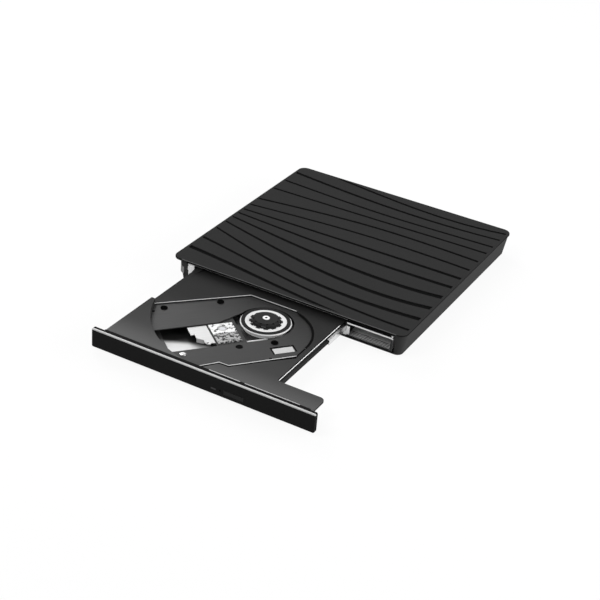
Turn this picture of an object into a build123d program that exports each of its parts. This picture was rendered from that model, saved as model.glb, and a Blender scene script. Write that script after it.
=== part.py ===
from build123d import *

import os
from math import atan, cos, degrees, radians, sin

# Slim external disc drive with its tray standing open. Millimetres, +Z up, +X to the right seen
# from the front, the front towards -Y. The origin lies on the table, under the middle of the drive
# as it stands open.

os.makedirs("parts", exist_ok=True)

# Case
case_width = 145.0
case_depth = 149.0
plate_corner = 5.0
plate_edge = 0.5
overhang = 0.4
wall_lean = 1.9
wall_corner = 3.6
side_recess = 2.5
case_wall = 1.6
roof_wall = 1.2
bottom_wall = 1.1
cover_gap = 0.15
foot_stand = 0.8
foot_sink = 0.5
foot_length = 16.0
foot_width = 7.0
foot_inset = 12.0
foot_set_in = 11.0
mouth_gap = 0.6
wave_depth = 0.45
wave_rim = 1.6

# Slim drive inside the case
drive_width = 128.0
drive_depth = 126.1
drive_height = 9.5
drive_x = 1.8
drive_setback = 0.7
drive_lift = 1.5
roof_gap = 0.3
chassis_sheet = 0.5
lid_sheet = 0.5
lid_skirt = 0.4
lid_skirt_drop = 4.0
hem_height = 0.95
hem_drop = 1.9
hem_set_back = 0.3
hem_depth = 3.5
rear_gap = 0.3

# Tray, with tray_out as far as it stands open in this pose
tray_out = 86.3
tray_length = 124.5
tray_closed_gap = 0.2
tray_roof_gap = 0.3
tray_width = 94.2
tray_left_inset = 4.4
left_flange = 2.1
flange_gap = 0.2
rim_end = 18.6
rim_ramp_start = 20.0
rim_ramp_end = 30.0
tray_wall = 1.3
tray_step = 0.9
tray_floor = 1.8
recess_radius = 60.75
recess_depth = 2.3
shield_gap = 0.6
shield_sheet = 0.3
wing_reach = 26.5
wing_depth = 16.5
wing_sheet = 0.9
wing_corner = 3.0
wing_box_start = 4.8
wing_box_width = 18.0
wing_rib = 0.5

# Front panel
bezel_width = 130.9
bezel_thickness = 2.4
bezel_gap = 0.2
bezel_corner = 0.8
bezel_edge = 0.45
bezel_lip = 0.9
wing_lip = 0.8

# Runners
runner_height = 1.6
runner_reach = 1.2
runner_centre = 4.2
rail_sheet = 0.5
rail_gap = 0.2
rail_ratio = 0.55
left_rail_length = 108.0
right_rail_length = 96.0
left_rail_lead = 1.5
right_rail_lead = 28.0
guide_gap = 0.15
guide_lip = 0.65

# Disc drive mechanism: spindle, sled and their frame
spindle_back = 63.8
spindle_shift = 0.5
sled_angle = 49.5
hub_radius = 7.4
hub_height = 1.9
seat_gap = 0.3
rubber_inner = 11.2
rubber_outer = 13.2
flange_radius = 13.8
flange_bevel = 0.35
rotor_radius = 12.4
rotor_wall = 0.6
shaft_radius = 1.0
running_gap = 0.03
lens_at = 24.0
lens_in = 1.2
lens_out = 32.5
rod_radius = 0.9
left_rod = 15.0
right_rod = 21.5
screw_line = 27.9
screw_radius = 1.25
slot_left = 5.5
slot_right = 16.5
slot_length = 62.0
cover_gap_round = 15.2
cover_sheet = 0.5
cover_sink = 0.6
ledge = 1.2

# Button, lamp and release hole, measured from the panel's middle and its lower edge
button_x = 20.2
button_z = 3.25
button_width = 11.6
button_height = 2.2
button_gap = 0.15
button_travel = 0.8
button_proud = 0.25
lamp_x = 8.4
lamp_width = 3.0
lamp_height = 1.0
release_x = 12.2
release_radius = 0.6

# Latch
latch_swing = 14.0
post_radius = 0.9

# Back of the case
usb_x = 34.0
usb_width = 8.94
usb_height = 3.26
usb_length = 7.35
usb_wall = 0.3
usb_slot_gap = 0.35
board_sheet = 1.0

# Levels, from the table up
z_under = foot_stand
z_floor = z_under + bottom_wall
z_drive = z_floor + drive_lift
z_chassis = z_drive + chassis_sheet
z_lid_top = z_drive + drive_height
z_lid = z_lid_top - lid_sheet
z_roof = z_lid_top + roof_gap
z_top = z_roof + roof_wall
z_tray_top = z_lid - tray_roof_gap
z_recess = z_tray_top - recess_depth
z_tray_under = z_recess - tray_floor
z_shield = z_chassis + shield_gap
z_skirt = z_shield + shield_sheet
z_runner = z_chassis + runner_centre - 0.5
z_left_runner = z_chassis + guide_lip + guide_gap + rail_sheet + rail_gap + runner_height / 2
z_flange = z_left_runner + (z_left_runner - z_chassis) + flange_gap
z_cover_top = z_recess - cover_sink
z_cover = z_cover_top - cover_sheet
z_seat = z_recess + seat_gap
z_bezel = z_floor + bezel_gap
z_bezel_top = z_roof - bezel_gap

# Stations from front to back
front_y = -(case_depth - tray_out - button_proud) / 2
back_y = front_y + case_depth
case_y = (front_y + back_y) / 2
face_y = front_y - tray_out
tray_front = face_y + bezel_thickness
tray_back = tray_front + tray_length
wing_back = tray_front + wing_depth
travel_in = tray_out - bezel_thickness - tray_closed_gap
drive_front = front_y + drive_setback
drive_back = drive_front + drive_depth
spindle_x = drive_x + spindle_shift
spindle_y = face_y + spindle_back

# Stations from left to right
drive_left = drive_x - drive_width / 2
drive_right = drive_x + drive_width / 2
wall_left = drive_left + lid_skirt
wall_right = drive_right - lid_skirt
bezel_left = drive_x - bezel_width / 2
bezel_right = drive_x + bezel_width / 2
tray_left = drive_left + tray_left_inset
tray_right = tray_left + tray_width
wing_right = tray_right + wing_reach
wing_box_left = tray_right + wing_box_start
wing_box_right = wing_box_left + wing_box_width
mouth_left = drive_left - mouth_gap
mouth_right = drive_right + mouth_gap

wall_height = z_roof - z_under
lean_angle = degrees(atan(wall_lean / wall_height))
body_left = -case_width / 2 + overhang + side_recess + wall_lean
body_right = case_width / 2 - overhang - wall_lean
body_width = body_right - body_left
body_x = (body_left + body_right) / 2
body_depth = case_depth - 2 * (overhang + wall_lean)

# The sled runs along this plane's X axis, which points from the front left corner to the spindle
# and on to the back right; its Y axis points to the back left
mech = Plane(
    origin=(spindle_x, spindle_y, 0),
    x_dir=(cos(radians(sled_angle)), sin(radians(sled_angle)), 0),
    z_dir=(0, 0, 1),
)


def block(x0, x1, y0, y1, z0, z1, mode=Mode.ADD, frame=Plane.XY):
    """A box between two opposite corners, measured in a plane's own axes."""
    with Locations(frame):
        with Locations(((x0 + x1) / 2, (y0 + y1) / 2, (z0 + z1) / 2)):
            Box(x1 - x0, y1 - y0, z1 - z0, mode=mode)


def post(x, y, z0, z1, radius, mode=Mode.ADD, frame=Plane.XY):
    """An upright cylinder between two levels, measured in a plane's own axes."""
    with Locations(frame):
        with Locations((x, y, (z0 + z1) / 2)):
            Cylinder(radius, z1 - z0, mode=mode)


def bar(x, y0, y1, z, radius, mode=Mode.ADD):
    """A round bar lying along Y."""
    with Locations((x, (y0 + y1) / 2, z)):
        Cylinder(radius, y1 - y0, rotation=(90, 0, 0), mode=mode)


def sled_bar(u0, u1, v, z, radius, mode=Mode.ADD):
    """A round bar lying along the sled's own direction."""
    with Locations(mech):
        with Locations(((u0 + u1) / 2, v, z)):
            Cylinder(radius, u1 - u0, rotation=(0, 90, 0), mode=mode)


def save(piece, name):
    """Names a finished piece and writes it as its own file."""
    piece.part.label = name
    export_step(piece.part, "parts/" + name + ".step")


# Two case screws behind the drive, and three that hold the drive down
case_screw_head = 1.9
case_screw_shank = 0.95
case_screw_sink = 1.3
case_boss = 2.7
screw_gap = 0.05
case_screw_spots = ((-36.0, back_y - 10.5), (6.0, back_y - 10.5))
drive_screw_in = 14.0
drive_screw_spots = (
    (drive_left + drive_screw_in, drive_front + 21.3),
    (drive_left + drive_screw_in, drive_back - 14.8),
    (drive_right - drive_screw_in, drive_front + 59.3),
)
drive_boss_rise = drive_lift

# Top cover: an overhanging plate over four leaning walls, open at the front for the tray
wave_stations = (-1.0, -0.5, 0.0, 0.5, 1.0)
wave_lines = (
    ((1.017, 0.982, 0.947, 0.932, 0.962), 2.0, 2.0),
    ((0.930, 0.899, 0.879, 0.877, 0.896), 2.5, 1.8),
    ((0.834, 0.817, 0.807, 0.813, 0.823), 1.8, 1.8),
    ((0.738, 0.742, 0.747, 0.754, 0.758), 1.8, 1.8),
    ((0.615, 0.654, 0.681, 0.685, 0.674), 2.0, 2.0),
    ((0.548, 0.577, 0.597, 0.601, 0.591), 1.6, 2.0),
    ((0.498, 0.503, 0.507, 0.509, 0.509), 1.6, 2.7),
    ((0.458, 0.440, 0.426, 0.422, 0.428), 1.5, 3.0),
    ((0.416, 0.374, 0.338, 0.321, 0.340), 1.5, 3.8),
    ((0.366, 0.299, 0.244, 0.219, 0.244), 1.5, 3.8),
    ((0.299, 0.216, 0.154, 0.134, 0.148), 1.5, 3.5),
    ((0.200, 0.148, 0.097, 0.065, 0.056), 2.0, 2.0),
    ((0.105, 0.073, 0.034, 0.003, -0.020), 3.2, 1.6),
)
with BuildPart() as top_cover:
    with BuildSketch(Plane.XY.offset(z_under)):
        with Locations((body_x, case_y)):
            RectangleRounded(body_width, body_depth, wall_corner)
    extrude(amount=wall_height, taper=-lean_angle)
    with BuildSketch(Plane.XY.offset(z_under)):
        with Locations((body_x, case_y)):
            RectangleRounded(
                body_width - 2 * case_wall, body_depth - 2 * case_wall, wall_corner - case_wall
            )
    extrude(amount=wall_height, taper=-lean_angle, mode=Mode.SUBTRACT)
    with BuildSketch(Plane.XY.offset(z_roof)):
        with Locations((0, case_y)):
            RectangleRounded(case_width, case_depth, plate_corner)
    extrude(amount=roof_wall)
    fillet(top_cover.edges().group_by(Axis.Z)[-1], radius=plate_edge)
    for screw_x, screw_y in case_screw_spots:
        post(screw_x, screw_y, z_floor + drive_boss_rise, z_roof, case_boss)
        post(
            screw_x, screw_y, z_floor, z_roof - case_wall, case_screw_shank + screw_gap, Mode.SUBTRACT
        )
    # the mouth that the drive's front stands in
    block(
        mouth_left, mouth_right, front_y - 1, front_y + overhang + wall_lean + case_wall + 1,
        z_under - 1, z_roof, Mode.SUBTRACT,
    )
    # the opening for the plug at the back
    with BuildSketch(Plane.XZ.offset(-back_y - 1)):
        with Locations((usb_x, z_floor + 4.1 + usb_height / 2)):
            SlotOverall(usb_width + 2 * usb_slot_gap, usb_height + 2 * usb_slot_gap)
    extrude(amount=overhang + wall_lean + case_wall + 2, mode=Mode.SUBTRACT)
    # shallow waves pressed into the plate
    with BuildSketch(Plane.XY.offset(z_top)):
        for shares, width_left, width_right in wave_lines:
            upper_points = []
            lower_points = []
            for station, share in zip(wave_stations, shares):
                half = (width_left + (width_right - width_left) * (station + 1) / 2) / 2
                x = station * case_width / 2
                y = front_y + share * case_depth
                upper_points.append((x, y + half))
                lower_points.append((x, y - half))
            with BuildLine():
                Spline(*upper_points)
                Spline(*lower_points)
                Line(upper_points[0], lower_points[0])
                Line(upper_points[-1], lower_points[-1])
            make_face()
        with Locations((0, case_y)):
            RectangleRounded(
                case_width - 2 * wave_rim, case_depth - 2 * wave_rim, plate_corner - wave_rim,
                mode=Mode.INTERSECT,
            )
    extrude(amount=-wave_depth, mode=Mode.SUBTRACT)
save(top_cover, "top_cover")

# Bottom cover: a plate let into the walls, with ribs that carry the drive and bosses for screws
plate_left = body_left + case_wall + cover_gap
plate_right = body_right - case_wall - cover_gap
plate_front = front_y + overhang + wall_lean + case_wall + cover_gap
plate_back = back_y - overhang - wall_lean - case_wall - cover_gap
tongue_front = front_y + overhang + wall_lean
foot_spots = (
    (plate_left + foot_inset, plate_front + foot_set_in),
    (plate_right - foot_inset, plate_front + foot_set_in),
    (plate_left + foot_inset, plate_back - foot_set_in + 6),
    (plate_right - foot_inset, plate_back - foot_set_in + 6),
)
rib_width = 2.0
board_left = usb_x - 12.0
board_right = drive_right + 0.2
board_front = drive_back + 2.0
board_back = plate_back - 1.2
board_z = z_floor + 4.1 - board_sheet
board_posts = (
    (board_left + 3, board_front + 3),
    (board_left + 3, board_back - 3),
    (board_right - 4, board_back - 3),
)
with BuildPart() as bottom_cover:
    with BuildSketch(Plane.XY.offset(z_under)):
        with Locations((body_x, (plate_front + plate_back) / 2)):
            RectangleRounded(
                plate_right - plate_left, plate_back - plate_front, wall_corner - case_wall
            )
    extrude(amount=bottom_wall)
    block(
        mouth_left + cover_gap, mouth_right - cover_gap, tongue_front, plate_front + 6, z_under, z_floor
    )
    for rib_x in (drive_left + 12, drive_x - 20, drive_x + 22, drive_right - 8):
        block(
            rib_x - rib_width / 2, rib_x + rib_width / 2, drive_front + 4, drive_back - 4,
            z_floor, z_drive,
        )
    block(drive_left + 12, drive_right - 8, drive_front + 4, drive_front + 6, z_floor, z_drive)
    for screw_x, screw_y in case_screw_spots:
        post(screw_x, screw_y, z_floor, z_floor + drive_boss_rise, case_boss)
        post(screw_x, screw_y, z_under, z_floor + drive_boss_rise, case_screw_shank + screw_gap, Mode.SUBTRACT)
        post(screw_x, screw_y, z_under, z_under + case_screw_sink, case_screw_head + screw_gap, Mode.SUBTRACT)
    for screw_x, screw_y in drive_screw_spots:
        post(screw_x, screw_y, z_floor, z_drive, case_boss)
        post(screw_x, screw_y, z_under, z_drive, case_screw_shank + screw_gap, Mode.SUBTRACT)
        post(screw_x, screw_y, z_under, z_under + case_screw_sink, case_screw_head + screw_gap, Mode.SUBTRACT)
    for post_x, post_y in board_posts:
        post(post_x, post_y, z_floor, board_z, 2.2)
        post(post_x, post_y, z_floor + 0.6, board_z, 0.8 + screw_gap, Mode.SUBTRACT)
    for foot_x, foot_y in foot_spots:
        block(
            foot_x - foot_length / 2, foot_x + foot_length / 2, foot_y - foot_width / 2,
            foot_y + foot_width / 2, z_under, z_under + foot_sink, Mode.SUBTRACT,
        )
save(bottom_cover, "bottom_cover")

with BuildPart() as rubber_feet:
    for foot_x, foot_y in foot_spots:
        with BuildSketch(Plane.XY):
            with Locations((foot_x, foot_y)):
                RectangleRounded(foot_length - 0.4, foot_width - 0.4, 2.0)
        extrude(amount=foot_stand + foot_sink)
save(rubber_feet, "rubber_feet")

with BuildPart() as case_screws:
    for screw_x, screw_y in case_screw_spots:
        post(screw_x, screw_y, z_under + 0.2, z_under + case_screw_sink, case_screw_head)
        post(screw_x, screw_y, z_under + case_screw_sink, z_roof - 4, case_screw_shank)
save(case_screws, "case_screws")

with BuildPart() as drive_screws:
    for screw_x, screw_y in drive_screw_spots:
        post(screw_x, screw_y, z_under + 0.2, z_under + case_screw_sink, case_screw_head)
        post(screw_x, screw_y, z_under + case_screw_sink, z_chassis, case_screw_shank)
save(drive_screws, "drive_screws")

# Runner section: a tongue on the tray, a folded steel rail round it and a plastic guide outside
tongue_half = runner_height / 2
rail_inner_half = tongue_half + rail_gap
rail_half = rail_inner_half + rail_sheet
guide_inner_half = rail_half + guide_gap
guide_half = guide_inner_half + guide_lip
rail_tip = 0.25
right_tongue = tray_right + runner_reach
right_web = right_tongue + rail_gap
right_guide = right_web + rail_sheet + guide_gap
right_guide_web = 0.85
left_guide_web = 0.85
tray_under_left = tray_left + left_flange
left_tongue = tray_under_left - runner_reach
left_web = left_tongue - rail_gap
left_guide = left_web - rail_sheet - guide_gap
tab_width = 1.9
tab_foot_gap = 0.4
left_tab_gap = 0.25
slot_end = wing_depth - tray_closed_gap + 0.8

# Chassis: the folded steel tray of the slim drive
latch_post_x = tray_right + 9.6
latch_post_set = 12.7
latch_post_y = tray_front + latch_post_set + travel_in
back_wall_y = drive_back - chassis_sheet
lid_screw_xs = (-50.0, -12.0, 24.0, 58.0)
lid_screw_y = back_wall_y - 0.9
lid_screw_shank = 0.5
sata_left = right_guide + 4.0
sata_right = wall_right - 2.2
sata_low = z_chassis + 1.0
sata_high = sata_low + 4.4
flex_width = 12.0
flex_right = drive_x - 6.0
flex_left = flex_right - flex_width
with BuildPart() as drive_chassis:
    block(wall_left, wall_right, drive_front, drive_back, z_drive, z_chassis)
    block(wall_left, wall_left + chassis_sheet, drive_front, drive_back, z_chassis, z_lid)
    block(wall_right - chassis_sheet, wall_right, drive_front, drive_back, z_chassis, z_lid)
    block(wall_left, wall_right, back_wall_y, drive_back, z_chassis, z_lid)
    # bright tab at the mouth, beside the right runner
    block(
        right_guide, right_guide + tab_width, drive_front, drive_front + chassis_sheet,
        z_chassis, z_recess - wing_sheet - 0.2,
    )
    block(
        tray_right + tab_foot_gap, right_guide, drive_front, drive_front + chassis_sheet,
        z_chassis, z_runner - rail_half - tab_foot_gap,
    )
    # a second tab closes the gap beside the tray on the left
    block(
        wall_left + chassis_sheet, left_guide - left_guide_web - guide_gap,
        drive_front, drive_front + chassis_sheet, z_chassis, z_lid,
    )
    block(
        wall_left + chassis_sheet, tray_left - left_tab_gap,
        drive_front, drive_front + chassis_sheet, z_left_runner + guide_half + guide_gap, z_lid,
    )
    # cross wall behind the wing's parking place
    block(
        right_guide + right_guide_web + 0.3, wall_right - chassis_sheet,
        front_y + slot_end + 2.5, front_y + slot_end + 2.5 + chassis_sheet, z_chassis, z_chassis + 4.5,
    )
    for spot_x in lid_screw_xs:
        block(spot_x - 1.5, spot_x + 1.5, lid_screw_y - 0.9, back_wall_y, z_lid - 0.8, z_lid)
        post(spot_x, lid_screw_y, z_lid - 1, z_lid + 1, lid_screw_shank + screw_gap, Mode.SUBTRACT)
    block(sata_left, sata_right, back_wall_y - 1, drive_back + 1, sata_low, sata_high, Mode.SUBTRACT)
    post(latch_post_x, latch_post_y, z_drive, z_chassis, post_radius - 0.2, Mode.SUBTRACT)
    for screw_x, screw_y in drive_screw_spots:
        post(screw_x, screw_y, z_drive, z_chassis, case_screw_shank + screw_gap, Mode.SUBTRACT)
save(drive_chassis, "drive_chassis")

with BuildPart() as latch_post:
    post(latch_post_x, latch_post_y, z_drive, z_chassis, post_radius - 0.2)
    post(latch_post_x, latch_post_y, z_chassis, z_chassis + 3.0, post_radius)
    chamfer(latch_post.edges().group_by(Axis.Z)[-1], length=0.2)
save(latch_post, "latch_post")

# Lid: a thin sheet with a hem at the front right and skirts over the chassis walls
hem_side_gap = 0.2
lid_front = front_y - tray_closed_gap + bezel_lip + hem_set_back
with BuildPart() as drive_lid:
    block(drive_left, right_guide, lid_front, drive_back, z_lid, z_lid_top)
    hem_front = drive_front + hem_set_back
    hem_top = z_lid_top - hem_drop
    hem_step = hem_front + hem_depth
    block(right_guide, drive_right, hem_step, drive_back, z_lid, z_lid_top)
    block(right_guide, drive_right, hem_step, hem_step + lid_sheet, hem_top - lid_sheet, z_lid_top)
    block(
        right_guide, wall_right - chassis_sheet - hem_side_gap, hem_front, hem_step + lid_sheet,
        hem_top - lid_sheet, hem_top,
    )
    block(drive_left, wall_left, drive_front, drive_back, z_lid - lid_skirt_drop, z_lid)
    block(wall_right, drive_right, drive_front, drive_back, z_lid - lid_skirt_drop, z_lid)
    block(
        right_guide, wall_right - chassis_sheet - hem_side_gap, hem_front, hem_front + lid_sheet,
        hem_top - hem_height, hem_top,
    )
    block(
        right_guide, right_guide + tab_width, hem_front, hem_front + lid_sheet,
        z_recess + hem_side_gap, hem_top,
    )
    for spot_x in lid_screw_xs:
        post(spot_x, lid_screw_y, z_lid - 1, z_lid_top + 1, lid_screw_shank + screw_gap, Mode.SUBTRACT)
    # a pressed panel stiffens the sheet
    block(
        drive_left + 14, drive_right - 14, drive_front + 40, drive_back - 12,
        z_lid_top - 0.15, z_lid_top + 1, Mode.SUBTRACT,
    )
save(drive_lid, "drive_lid")


def guide(piece_x0, piece_x1, lip_x0, lip_x1, y0, y1, level):
    """A plastic guide of C section standing on the chassis floor."""
    block(piece_x0, piece_x1, y0, y1, z_chassis, level + guide_half)
    block(lip_x0, lip_x1, y0, y1, level + guide_inner_half, level + guide_half)
    block(lip_x0, lip_x1, y0, y1, z_chassis, level - guide_inner_half)


guide_reach = 1.1
guide_back = back_wall_y - 0.4
with BuildPart() as left_guide_rail:
    guide(
        left_guide - left_guide_web, left_guide, left_guide, left_guide + guide_reach,
        drive_front + 0.3, guide_back, z_left_runner,
    )
    for foot_y in (drive_front + 12, (drive_front + guide_back) / 2, guide_back - 8):
        block(
            wall_left + chassis_sheet, left_guide - left_guide_web, foot_y - 4, foot_y + 4,
            z_chassis, z_chassis + guide_lip,
        )
save(left_guide_rail, "left_guide")

with BuildPart() as right_guide_rail:
    guide(
        right_guide, right_guide + right_guide_web, right_guide - guide_reach, right_guide,
        front_y + slot_end, guide_back, z_runner,
    )
    block(
        right_guide, right_guide + right_guide_web, drive_front + chassis_sheet + 0.1,
        front_y + slot_end, z_chassis, z_recess - wing_sheet - 0.4,
    )
    # the flat cable passes under the guide here
    block(
        right_guide - guide_reach - 1, right_guide + right_guide_web + 1, drive_back - 24,
        drive_back - 8, z_chassis, z_chassis + 0.4, Mode.SUBTRACT,
    )
save(right_guide_rail, "right_guide")


def rail(web_x0, web_x1, lip_x0, lip_x1, y0, y1, level):
    """A folded steel rail of C section round the tray's tongue."""
    block(web_x0, web_x1, y0, y1, level - rail_half, level + rail_half)
    block(lip_x0, lip_x1, y0, y1, level + rail_inner_half, level + rail_half)
    block(lip_x0, lip_x1, y0, y1, level - rail_half, level - rail_inner_half)


rail_travel = rail_ratio * travel_in
left_rail_front = front_y + left_rail_lead - rail_travel
right_rail_front = front_y + right_rail_lead - rail_travel
with BuildPart() as left_rail:
    rail(
        left_web - rail_sheet, left_web, left_web, tray_under_left - rail_tip,
        left_rail_front, left_rail_front + left_rail_length, z_left_runner,
    )
save(left_rail, "left_rail")

with BuildPart() as right_rail:
    rail(
        right_web, right_web + rail_sheet, tray_right + rail_tip, right_web,
        right_rail_front, right_rail_front + right_rail_length, z_runner,
    )
save(right_rail, "right_rail")

# Outline of the opening over the mechanism, measured from the spindle
open_back = 18.6
open_left = 58.7
open_front = 64.0
open_arc_x = 0.7
open_arc_y = -10.5
open_arc_radius = 30.0
open_arc_start = (open_arc_radius**2 - (open_back - open_arc_y) ** 2) ** 0.5 + open_arc_x
open_arc_mid = 0.7071 * open_arc_radius
open_side = open_arc_x + open_arc_radius


spindle_plane = Plane(origin=(spindle_x, spindle_y, 0))
with BuildSketch(spindle_plane.offset(z_cover)) as cover_opening:
    with BuildLine():
        Polyline(
            (open_arc_start, open_back), (-20.3, open_back), (-open_left, -21.5),
            (-open_left, -open_front), (-13.0, -open_front), (2.5, -47.5), (7.0, -47.5),
            (open_side, -22.0), (open_side, open_arc_y),
        )
        ThreePointArc(
            (open_side, open_arc_y),
            (open_arc_x + open_arc_mid, open_arc_y + open_arc_mid),
            (open_arc_start, open_back),
        )
    make_face()
    Circle(recess_radius - 0.4, mode=Mode.INTERSECT)
with BuildSketch(spindle_plane.offset(z_tray_under)) as ledge_opening:
    add(cover_opening.sketch_local)
    offset(amount=-ledge, kind=Kind.INTERSECTION)
with BuildSketch(spindle_plane.offset(z_cover)) as cover_face:
    add(cover_opening.sketch_local)
    offset(amount=-cover_gap, kind=Kind.INTERSECTION)

# Places in the mechanism: along the sled's way (u) and across it (v)
outer_screw_in = 5.9
outer_screw_v = 25.8
outer_screw_u = -(((recess_radius - outer_screw_in) ** 2 - outer_screw_v**2) ** 0.5)
cover_screw_spots = ((-17.2, 25.2), (outer_screw_u, outer_screw_v), (-9.0, -34.0))
damper_spots = ((-68.5, 11.0), (22.0, 8.0), (-25.7, -39.9))
damper_z = z_skirt + 0.2
damper_flange = 0.3
frame_z = damper_z + damper_flange
frame_sheet = 0.6
damper_top = frame_z + frame_sheet + 0.4
rod_z = frame_z + frame_sheet + 0.4 + rod_radius
lens_u = -lens_at
lens_u_out = lens_u - lens_out
plunger_x = tray_left + 9.5
plunger_z = z_skirt + 1.6
plunger_radius = 1.0
plunger_collar = 1.45
plunger_stroke = 5.0
plunger_tip = 1.5
shield_screw_in = 5.5
shield_screw_spots = (
    (tray_left + shield_screw_in, tray_front + 5),
    (tray_left + shield_screw_in, tray_back - 12),
    (tray_right - shield_screw_in, tray_back - 10),
    (tray_right - shield_screw_in + 0.5, wing_back + 17.5),
)
board_behind = 28.5
main_board_front = spindle_y + board_behind
main_board_back = tray_back - 6.0
main_board_left = tray_left + 14.0
main_board_right = tray_right - 12.0
main_board_spots = (
    (main_board_left + 2.5, main_board_front + 2.5),
    (main_board_right - 2.5, main_board_front + 2.5),
    (main_board_left + 2.5, main_board_back - 2.5),
    (main_board_right - 2.5, main_board_back - 2.5),
)
main_board_z = z_tray_under - 0.6 - board_sheet
latch_pivot_x = tray_right + 12.2
latch_pivot_y = tray_front + 3.9
latch_pin_radius = 0.8
lamp_z = z_bezel + button_z
front_wall = 1.4
pocket_middle = 62.75
pocket_length = 25.5
pocket_width = 43.0
thin_wall = 0.5
peg_spots = (-40.0, -8.0, 32.0)
peg_z = z_tray_under - 0.6
peg_radius = 0.7

with BuildPart() as tray:
    # body below the recess level, with the lower part drawn in for the rails
    block(tray_left, tray_under_left, tray_front, tray_back, z_flange, z_recess)
    block(
        tray_under_left, tray_right, tray_front, tray_back, z_runner - tongue_half, z_recess
    )
    block(
        tray_under_left, tray_right - tray_step, tray_front, tray_back, z_skirt,
        z_runner - tongue_half,
    )
    # higher rim outside the disc recess, at the front left and the back
    with BuildSketch(Plane.XY.offset(z_recess)):
        with Locations(((tray_left + tray_right) / 2, (tray_front + tray_back) / 2)):
            Rectangle(tray_right - tray_left, tray_back - tray_front)
        with Locations((spindle_x, spindle_y)):
            Circle(recess_radius, mode=Mode.SUBTRACT)
            with Locations((recess_radius, -recess_radius)):
                Rectangle(2 * recess_radius, 2 * recess_radius, mode=Mode.SUBTRACT)
    extrude(amount=z_tray_top - z_recess)
    # the thin end of the rim is left out beside the disc, and rises again behind it
    with BuildSketch(Plane.YZ.offset(tray_left - 1)):
        with BuildLine():
            Polyline(
                (spindle_y - rim_end, z_recess), (spindle_y - rim_end, z_tray_top + 1),
                (spindle_y + rim_ramp_end, z_tray_top + 1), (spindle_y + rim_ramp_end, z_tray_top),
                (spindle_y + rim_ramp_start, z_recess), close=True,
            )
        make_face()
    extrude(amount=spindle_x - tray_left, mode=Mode.SUBTRACT)
    # hollow underside
    block(
        tray_under_left + tray_wall, tray_right - tray_step - tray_wall,
        tray_front + front_wall, tray_back - tray_wall, z_skirt, z_tray_under, Mode.SUBTRACT,
    )
    # headroom for the sled under the front left rim, where the front wall is thin
    with BuildSketch(Plane.XY.offset(z_skirt)):
        with Locations(
            (
                (tray_under_left + tray_wall + spindle_x) / 2,
                (tray_front + thin_wall + spindle_y) / 2,
            )
        ):
            Rectangle(
                spindle_x - tray_under_left - tray_wall, spindle_y - tray_front - thin_wall
            )
        with Locations(mech):
            with Locations((-pocket_middle, -2.5)):
                Rectangle(pocket_length, pocket_width, mode=Mode.INTERSECT)
    extrude(amount=z_recess - 0.2 - z_skirt, mode=Mode.SUBTRACT)
    # opening over the mechanism, with a ledge that carries the cover
    extrude(cover_opening.sketch, amount=z_recess - z_cover, mode=Mode.SUBTRACT)
    extrude(ledge_opening.sketch, amount=z_cover - z_tray_under, mode=Mode.SUBTRACT)
    for u, v in cover_screw_spots:
        post(u, v, z_tray_under, z_cover, 4.0, frame=mech)
        post(u, v, z_tray_under, z_cover, 0.8 + screw_gap, Mode.SUBTRACT, frame=mech)
    # tongues that run in the rails
    block(
        left_tongue, tray_under_left, tray_front + 1, tray_back, z_left_runner - tongue_half,
        z_left_runner + tongue_half,
    )
    block(
        tray_right, right_tongue, wing_back, tray_back, z_runner - tongue_half,
        z_runner + tongue_half,
    )
    # thin wing beside the front, over a shallow box for the latch
    with BuildSketch(Plane.XY.offset(z_recess - wing_sheet)) as wing_face:
        with Locations(((tray_right + wing_right) / 2, (tray_front + wing_back) / 2)):
            Rectangle(wing_right - tray_right, wing_back - tray_front)
        fillet(wing_face.vertices().group_by(Axis.X)[-1].sort_by(Axis.Y)[-1], radius=wing_corner)
    extrude(amount=wing_sheet)
    block(
        wing_box_left, wing_box_right, tray_front, wing_back, z_skirt, z_recess - wing_sheet
    )
    block(
        wing_box_left + tray_wall, wing_box_right - tray_wall, tray_front + front_wall,
        wing_back - tray_wall, z_skirt, z_recess - wing_sheet, Mode.SUBTRACT,
    )
    block(
        latch_post_x - post_radius - 0.5, latch_post_x + post_radius + 0.5,
        wing_back - tray_wall - 1, wing_back + 1, z_skirt, z_chassis + 3.4, Mode.SUBTRACT,
    )
    # low rib behind the front panel, with a gap in it
    block(spindle_x + 2, wing_right - 8, tray_front, tray_front + wing_rib, z_recess, z_tray_top - 0.4)
    block(
        spindle_x + 20, spindle_x + 22, tray_front - 1, tray_front + wing_rib + 1, z_recess,
        z_tray_top, Mode.SUBTRACT,
    )
    # posts for the boards, the dampers and the screws of the shield
    for u, v in damper_spots:
        post(u, v, damper_top, z_recess - 0.1, 2.2, frame=mech)
    for u, v in damper_spots:
        post(u, v, damper_top, z_recess - 0.9, 0.8 + screw_gap, Mode.SUBTRACT, frame=mech)
    for spot_x, spot_y in main_board_spots:
        post(spot_x, spot_y, main_board_z + board_sheet, z_tray_under, 1.7)
    for spot_x, spot_y in shield_screw_spots:
        post(spot_x, spot_y, z_skirt, z_tray_under, 1.9)
        post(spot_x, spot_y, z_skirt, z_tray_under + 0.6, 0.8 + screw_gap, Mode.SUBTRACT)
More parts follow.
